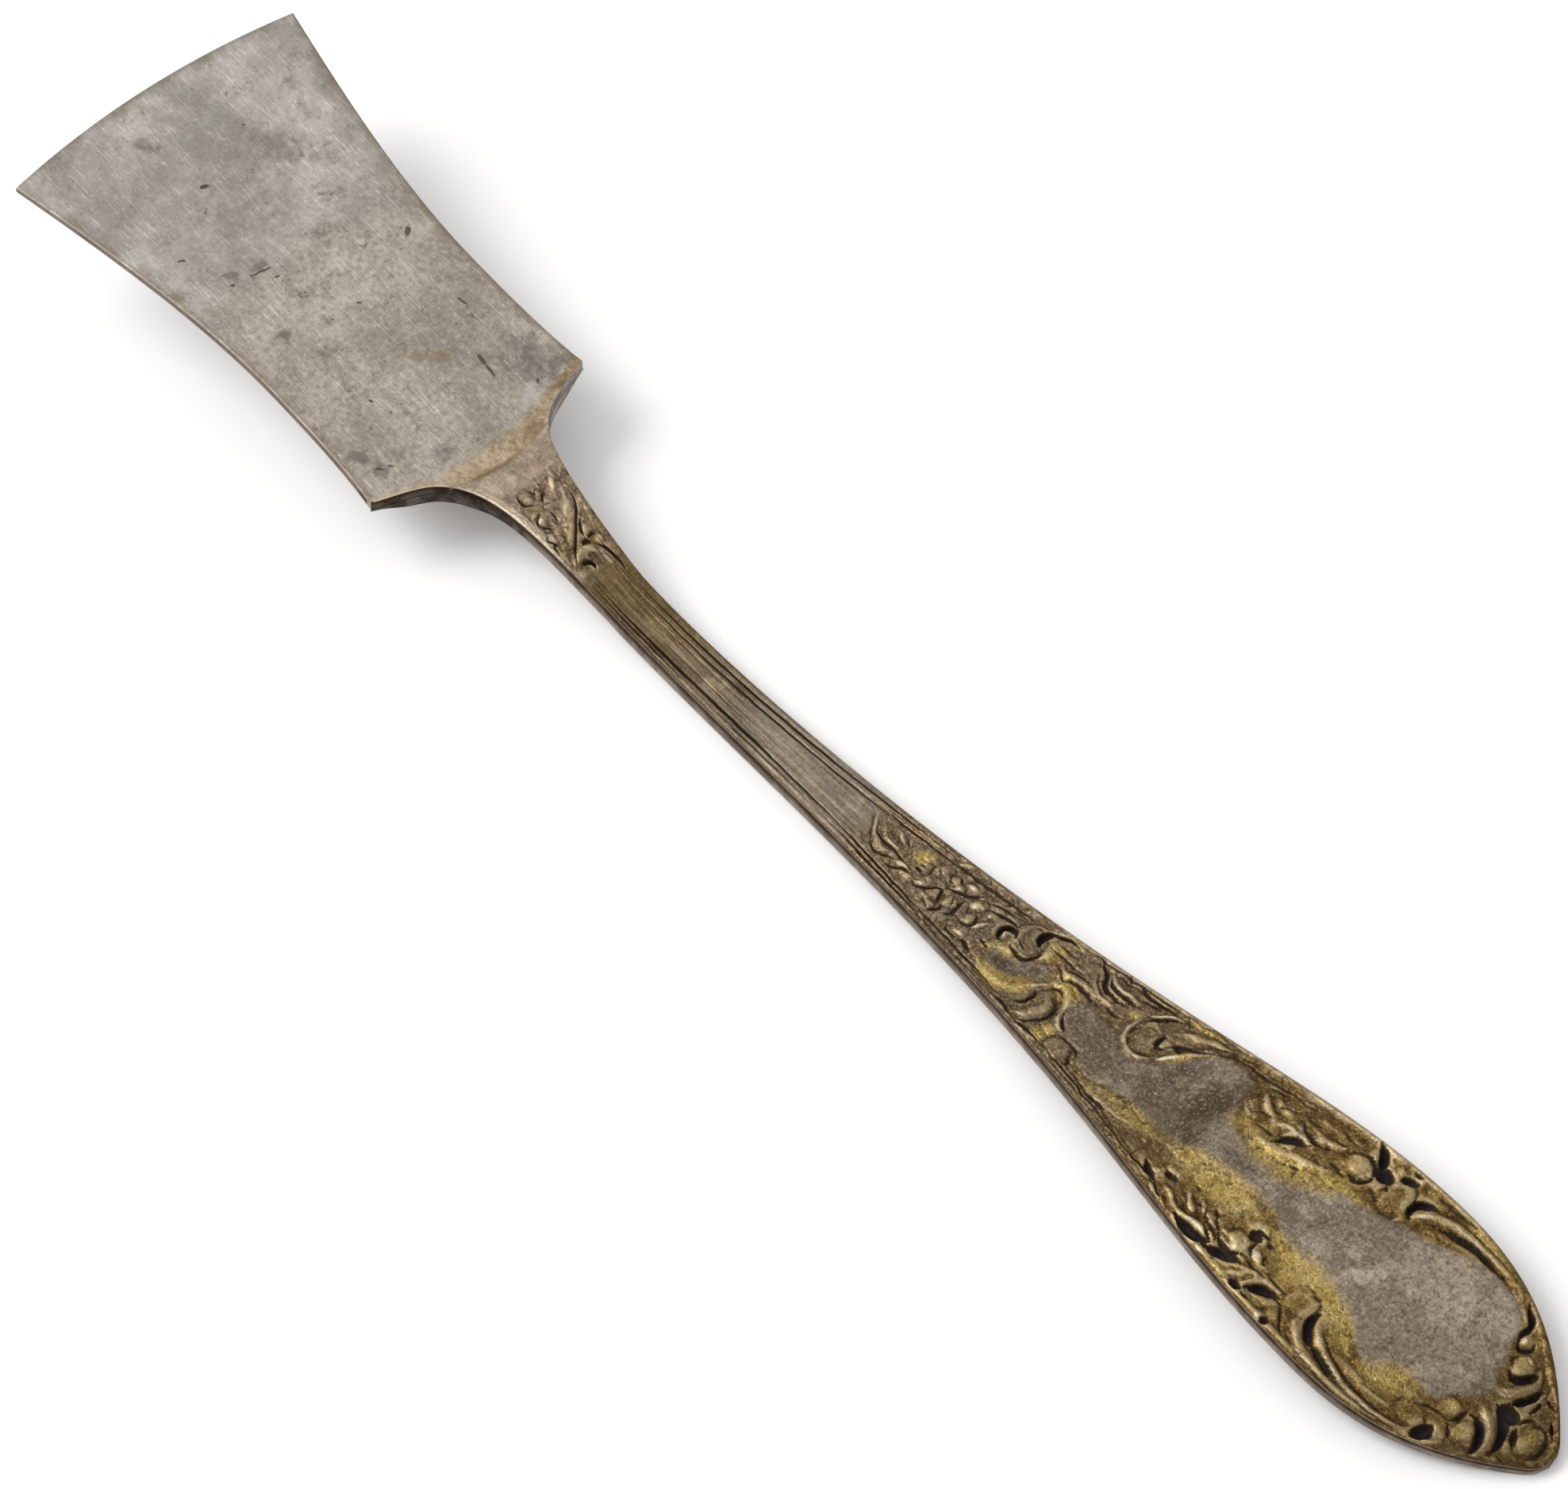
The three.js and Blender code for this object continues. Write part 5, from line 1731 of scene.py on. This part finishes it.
# painted shade along the near edge, from the stem to the field
near_edge_shade = np.exp(-np.maximum(top_gap, 0) / 0.35) * (top_y < 0)
handle_paint = {
    "hollow": np.clip(sunk / 0.13, 0, 1),
    "deep": np.clip((sunk - 0.2) / 0.22, 0, 1),
    "gilt": np.maximum(0.85 * soften(gilt, 1, 1), 1.15 * soften(gilt, 7, 7)),
    "gloom": gloom,
    "glow": glow,
    "bright_wear_and_highlight": bright_wear_and_highlight,
    "plain": np.maximum(ease(field_gap / 1.3 + 0.5), ease(kidney_gap / 0.35 + 0.5)),
    "proud": np.clip(above_neighbours(struck) / 0.08, -1, 1),
    "tone": along("41 .4, 48 .2, 50 -.6, 58 -.4, 66 0, 72 .4, 76 .2, 90 -.6, 100 -.4, 104 -.6, "
                  "109 -.6, 113 -.4, 118 .2, 126 .7, 133 .7, 135 -.7, 139 -1"),
    "amber": along("50 1, 58 .7, 66 .2, 90 .15, 104 .5, 111 1"),
    "neck": along("41.5 1, 45 .7, 49 .5, 51 0"),
    "quiet": along("118 1, 124 .75, 134 .6, 139 .35"),
    "golden": seam["golden"],
    "crease": seam["crease"],
    "worked": chased,
    # where the sides get painted shade and painted light
    "wall": np.clip(1 - top_gap / WALL_PAINT, 0, 1) * np.where(is_palm, 0.7, 1),
    "shaded": near_edge_shade * ease((112 - top_x) / 10) * ease((top_x - 49) / 2),
}
handle = skin("struck_handle", lay(top_x, top_y, top_z + struck), lay(low_x, low_y, low_z),
              handle_paint)
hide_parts("handle")

# %% [markdown]
# ## Finishes
#
# All three pieces are old plate that has gone dull. A single tarnished silver would look like
# plastic: what makes it read as metal is that the plate is cloudy, specked and scratched at
# several sizes at once, brown where it is thin at the edges, and bright where it rubs. Painted
# highlights on ridges and rims, and painted shade and a painted floor reflection on the sides,
# add light and shade as colour. The colours were chosen against the photo, and noise at three
# or four sizes mixes them.

# %% Colours shared by the pieces that meet at the heel


def cloudy_plate(finish):
    """Warm grey plate, cloudy and grained at four sizes. Returns the noises that made it."""
    cloud = finish.noise(150, 5, 0.6, 0.4)
    patch = finish.noise(520, 6, 0.68, 0.2, 0.31)
    grain = finish.noise(2300, 5, 0.75, 0, 0.17)
    heelward = finish.painted("heelward")
    dark = finish.blend(heelward, (152, 147, 142), (157, 148, 137))
    light = finish.blend(heelward, (189, 184, 177), (183, 173, 161))
    base = finish.blend((cloud + (patch - 0.5) * 0.4).between(0.38, 0.62), dark, light)
    base = finish.fleck(base, patch, (0.42, 0.66, 0.5, (136, 128, 119)),
                        (0.54, 0.7, 0.5, (194, 188, 179)))
    finish.colour = finish.fleck(base, grain, (0.46, 0.66, 0.22 + heelward * 0.26, (112, 103, 92)),
                                 (0.52, 0.7, 0.24 + heelward * 0.24, (210, 203, 191)))
    thread = finish.noise(700, 3, 0.5, 0.3, 0.91)
    thin = (1 - (thread - 0.5).size() * 34).most(0) * patch.between(0.48, 0.6)
    finish.over(thin * 0.3, (112, 104, 96))
    blued = finish.painted("bluing") * 1.1 + (patch - 0.5) * 2.2 + (grain - 0.5) * 0.9 + (cloud - 0.5)
    finish.over(blued.between(0.25, 1.3) * 0.75, (106, 99, 99))
    return cloud, patch, grain


def neck_plate(finish):
    """Pinkish tan plate of the neck, with fine light and dark flecks."""
    cloud = finish.noise(330, 5, 0.65, 0.3, 0.13)
    fine = finish.noise(1400, 5, 0.75, 0.2, 0.47)
    tan = finish.blend(cloud.between(0.4, 0.62), (144, 127, 112), (174, 158, 142))
    return finish.fleck(tan, fine, (0.5, 0.68, 0.6, (112, 94, 78)),
                        (0.52, 0.68, 0.6, (214, 200, 180)))


def brassy_over(finish, patch, grain):
    """Lays the brassy band of the seam over the finish's colour, and darkens its crease with grime
    and painted shade.
    """
    patchy = patch.between(0.4, 0.62)
    near = finish.blend(patchy, (200, 178, 148), (156, 135, 104))
    far = finish.blend(patchy, (172, 148, 114), (122, 101, 76))
    brassy = finish.fleck(finish.blend(finish.painted("far"), near, far), grain,
                          (0.44, 0.66, 0.6, (116, 92, 62)), (0.54, 0.7, 0.5, (216, 198, 160)))
    share = finish.painted("golden") * 1.15 + (patch - 0.5) * 1.1 + (grain - 0.5) * 0.8
    finish.over(share.between(0.15, 1.25) * 0.85, brassy)
    # the crease darkened: grime in the joint, and painted shade
    dull = finish.painted("crease") + (patch - 0.5) * 0.9
    finish.over(dull.between(0.1, 1.1) * 0.75, (106, 88, 58))


def painted_wall_shade_over(finish, patch):
    """Paints light and shade on the sides of the metal as colour.

    The side that faces the viewer gets painted shade near its top and a paler painted reflection
    of the floor at its foot, darker at the shoulders; the far side gets pale painted light.
    """
    lengthwise, across = (finish.node("ShaderNodeSeparateXYZ", {}, {"Vector": finish.where}, axis)
                          for axis in "XY")
    wall = finish.painted("wall")
    patchy = patch.between(0.42, 0.6)
    # painted shade near the top of the near side, a painted floor reflection at its foot, darker at the
    # shoulders
    wall_top_shade = finish.blend(patchy, (34, 26, 22), (66, 55, 46))
    lower = finish.blend(patchy, (134, 124, 115), (164, 154, 144))
    shoulder = finish.blend(patchy, (70, 64, 62), (112, 106, 103))
    lower = finish.blend((-1 * lengthwise).between(0.022, 0.027), lower, shoulder)
    # pale painted light on the far side
    pale = finish.blend(patchy, (150, 144, 144), (186, 182, 182))
    side = finish.blend(wall.between(0.6, 0.95), lower, wall_top_shade)
    side = finish.blend(across.between(0.001, 0.005), side, pale)
    finish.over((wall * 2.5).least(1), side)


print("plate's four sizes of mottling, in waves to the metre: 150, 520, 700, 2300")

# %% Blade finish
plate = Finish("dull plate")
cloud, patch, grain = cloudy_plate(plate)
speck = plate.noise(1500, 3, 0.6, 0, 0.53)
scratch = plate.noise(420, 3, 0.7, 0, 0.11, (1, 18, 1))
cross_scratch = plate.noise(380, 3, 0.7, 0, 0.71, (16, 1.5, 1))
rim = plate.painted("rim") * 1.1 - 0.2 + (patch - 0.5) * 1.6
plate.over(rim.between(0.1, 0.9) * 0.6, (120, 107, 88))
dull = plate.painted("stain") * 1.2 + (patch - 0.5) * 1.4 + (cloud - 0.5) * 0.8 + (grain - 0.5) * 0.6
dull = dull.between(0.25, 1.1)
plate.over(dull * 0.65, (108, 100, 94))
plate.over(speck.between(0.62, 0.7) * patch.between(0.47, 0.58) * 0.6, (88, 80, 73))
streak = plate.painted("brass") * 1.1 + (patch - 0.5) * 1.6 + (grain - 0.5) * 1.4
plate.over(streak.between(0.2, 1.2) * 0.55, (136, 114, 90))
plate.over(plate.painted("bare") * grain.between(0.35, 0.6) * 0.6, (196, 194, 196))
brassy_over(plate, patch, grain)
plate.over(plate.painted("nick").between(0.1, 0.6) * 0.85, (70, 62, 56))
painted_wall_shade_over(plate, patch)
roughness = 0.46 + (patch - 0.5) * 0.3 + dull * 0.12 - scratch.between(0.6, 0.75) * 0.08
bumps = grain + scratch.between(0.55, 0.7) * 0.7 + cross_scratch.between(0.6, 0.72) * 0.35 + patch
plate.dress(blade, roughness, bumps, 0.03, 0.5)

# %% Braze finish
filler = Finish("old braze")
patch, grain = cloudy_plate(filler)[1:]
filler.over(filler.painted("neckward"), neck_plate(filler))
brassy_over(filler, patch, grain)
# the pale near edge of the braze: worn bright, and a painted highlight
filler.over(filler.painted("worn_lip_highlight") * 0.8, (214, 196, 164))
painted_wall_shade_over(filler, patch)
filler.dress(braze, 0.46 + (patch - 0.5) * 0.3, patch + grain, 0.03, 0.5)

# %% Handle finish: noises and painted values
metal = Finish("tarnished struck plate")
cloud = metal.noise(190, 5, 0.6, 0.5, 0.21)
patch = metal.noise(620, 6, 0.7, 0.3, 0.43)
grain = metal.noise(3000, 4, 0.7, 0, 0.37)
sand = metal.noise(5200, 3, 0.7, 0, 0.29)
chunk = metal.noise(1500, 4, 0.65, 0.6, 0.95)
vein_field = metal.noise(900, 3, 0.5, 0.4, 0.66)
scratch = metal.noise(420, 3, 0.7, 0, 0.57, (1, 16, 1))
streak = metal.noise(150, 4, 0.65, 0.2, 0.77, (1, 26, 1))
hairline = metal.noise(260, 2, 0.5, 0.6, 0.83, (2.5, 1, 1))
cloudy, patchy, grainy = (noise.between(0.42, 0.58) for noise in (cloud, patch, grain))
mottle = cloudy + patchy - 1
proud, worked, amber, tone = (metal.painted(name) for name in ("proud", "worked", "amber", "tone"))
bare = metal.painted("plain") * 1.5 - 0.25 + (patchy + grainy - 1) * 0.3 + (chunk - 0.5) * 1.5
bare = bare.between(0.25, 0.75)
vein = (1 - (vein_field - 0.5).size() * 26).most(0)
hair = (1 - (hairline - 0.5).size() * 55).most(0)
print(metal.made.name, "starts with", len(metal.nodes), "nodes")

# %% Handle finish: the stem, the worked ground and the plain field
stem_cloud = cloud.between(0.35, 0.65)
brown_stem = metal.blend(stem_cloud, (98, 76, 40), (142, 117, 76))
grey_stem = metal.blend(stem_cloud, (122, 112, 101), (152, 143, 130))
stem_colour = metal.fleck(metal.blend(amber, grey_stem, brown_stem), streak,
                          (0.5, 0.66, 0.65, (66, 52, 36)), (0.52, 0.66, 0.55, (180, 166, 142)))
low = patch.between(0.35, 0.62)
grey_low = metal.blend(low, (90, 73, 58), (120, 102, 82))
gold_low = metal.blend(low, (68, 50, 24), (104, 78, 40))
high = patch.between(0.4, 0.65)
grey_high = metal.blend(high, (138, 120, 100), (170, 152, 126))
gold_high = metal.blend(high, (126, 102, 58), (158, 132, 84))
height = (proud + (chunk - 0.5) * 2 + (grain - 0.5) * 0.8).between(-0.5, 0.8)
worked_colour = metal.blend(height, metal.blend(amber, grey_low, gold_low),
                            metal.blend(amber, grey_high, gold_high))
field_cloud = (cloudy + patchy * 0.5).between(0.1, 1.4)
field_colour = metal.blend(field_cloud, (108, 95, 81), (162, 147, 130))
gloomy = (metal.painted("gloom") * 1.2 + mottle * 0.35).between(0.1, 1.1)
field_colour = metal.blend(gloomy * 0.85, field_colour, (68, 55, 43))
glowing = (metal.painted("glow") * 1.2 + mottle * 0.4).between(0.1, 1.1)
field_colour = metal.blend(glowing * 0.8, field_colour, (192, 178, 160))
metal.colour = metal.blend(worked, stem_colour, worked_colour)
metal.over(metal.painted("neck"), neck_plate(metal))
metal.over(bare, field_colour)
print("with its base colours it has", len(metal.nodes), "nodes")

# %% Handle finish: rust, shade and gilt
metal.over(patch.between(0.47, 0.62) * 0.45 * worked, (82, 66, 42))
metal.over((1 - patch).between(0.55, 0.68) * 0.35, (180, 166, 138))
metal.over(chunk.between(0.52, 0.64) * worked * 0.35, (104, 68, 42))
metal.over((1 - chunk).between(0.52, 0.64) * worked * (0.15 + amber * 0.2), (176, 150, 88))
brassy_over(metal, patch, grain)
metal.over((-1 * tone).most(0) * 0.5 * (0.5 + cloud), (62, 50, 36))
metal.over(tone.most(0) * (bare + (1 - worked)).least(1) * 0.4, (188, 173, 154))
# painted shade along the near edge
metal.over(metal.painted("shaded") * (0.2 + patch), (88, 75, 58))
gold = metal.painted("gilt") * (0.2 + patchy * 0.8 + grainy * 0.5 + chunk.between(0.4, 0.6) * 0.8)
gold = gold.between(0.2, 0.8)
gold_colour = metal.blend(patchy, (216, 192, 122), (166, 139, 74))
gold_colour = metal.blend(chunk.between(0.5, 0.62) * 0.7, gold_colour, (102, 74, 32))
gold_colour = metal.blend((1 - sand).between(0.54, 0.68) * 0.6, gold_colour, (244, 226, 164))
metal.over(gold * 0.85, gold_colour)
print("with rust, shade and gilt it has", len(metal.nodes), "nodes")

# %% Handle finish: specks, crests, hollows and cuts
rough = (0.5 + (worked + bare).least(1) * 0.5) * (1 - gold * 0.4)
gilded = amber * (1 - bare)
light_speck = metal.blend(gilded, (206, 194, 170), (206, 178, 112))
dark_speck = metal.blend(gilded, (68, 56, 42), (62, 44, 18))
specked = metal.fleck(metal.colour, grain, (0.46, 0.64, rough * 0.5, dark_speck),
                      (0.55, 0.72, rough * 0.4, light_speck))
metal.colour = metal.fleck(specked, sand, (0.48, 0.66, rough * 0.35, dark_speck),
                           (0.52, 0.7, rough * 0.3, light_speck))
metal.over(vein * worked * (1 - gold) * 0.75 * patch.between(0.38, 0.52), (58, 44, 28))
metal.over(hair * bare * 0.5 * patch.between(0.42, 0.56), (70, 57, 44))
broken = (0.3 + patchy * 0.4 + grainy * 0.5) * metal.painted("quiet")
# ridges lighter, as rubbed wear and as a painted highlight
crest_wear_and_highlight = (proud * 1.3 + (chunk - 0.5) * 2).between(0.45, 1.2) * worked * (0.3 + amber * 0.5)
metal.over(crest_wear_and_highlight * broken * 0.75, (208, 187, 146))
# rubbed-bright wear and painted highlights, quieter towards the nose
metal.over(metal.painted("bright_wear_and_highlight") * broken, (216, 202, 176))
# ground between raised forms darker, as tarnish and as painted shade
pit_tarnish_and_shade = (-1.1 * proud + (patch - 0.5)).between(0.4, 1.2) * worked
metal.over(pit_tarnish_and_shade * 0.7, (48, 35, 21))
hollow = (metal.painted("hollow") + (patch - 0.5) * 0.5).between(0.12, 0.85)
metal.over(hollow * 0.9, (42, 31, 20))
deep = (metal.painted("deep") + (patch - 0.5) * 0.5 + (grain - 0.5) * 0.3).between(0.1, 0.6)
metal.over(deep, metal.blend(patch.between(0.45, 0.6), (20, 18, 26), (44, 34, 32)))
painted_wall_shade_over(metal, patch)
roughness = 0.48 + (patch - 0.5) * 0.3 + hollow * 0.2
bumps = grain * 0.9 + patch * 1.6 + scratch.between(0.58, 0.7) * 0.6 - vein * worked
bumps = bumps - hair * bare * 0.4 + sand * 0.4 + chunk * worked * 1.5
metal.dress(handle, roughness, bumps, 0.04, 0.6, METAL_SHARE - hollow * 0.5)

# %% [markdown]
# ## Size and finish
# The dressed spoon's box is set against the imported model's box, and how far its top
# corner grows is printed. The dressed spoon has to stay inside the imported model's box. Both
# boxes are written down, so that they can be compared after each render.

# %% Set the view transform and print how far the box grows
bpy.context.scene.view_settings.view_transform = "Standard"
bpy.context.view_layer.update()
new_low, new_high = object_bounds()
grown = [round((a - b) / MM, 3) for a, b in zip(new_high, cad_high)]
print("box grows by", grown, "mm at the top corner")
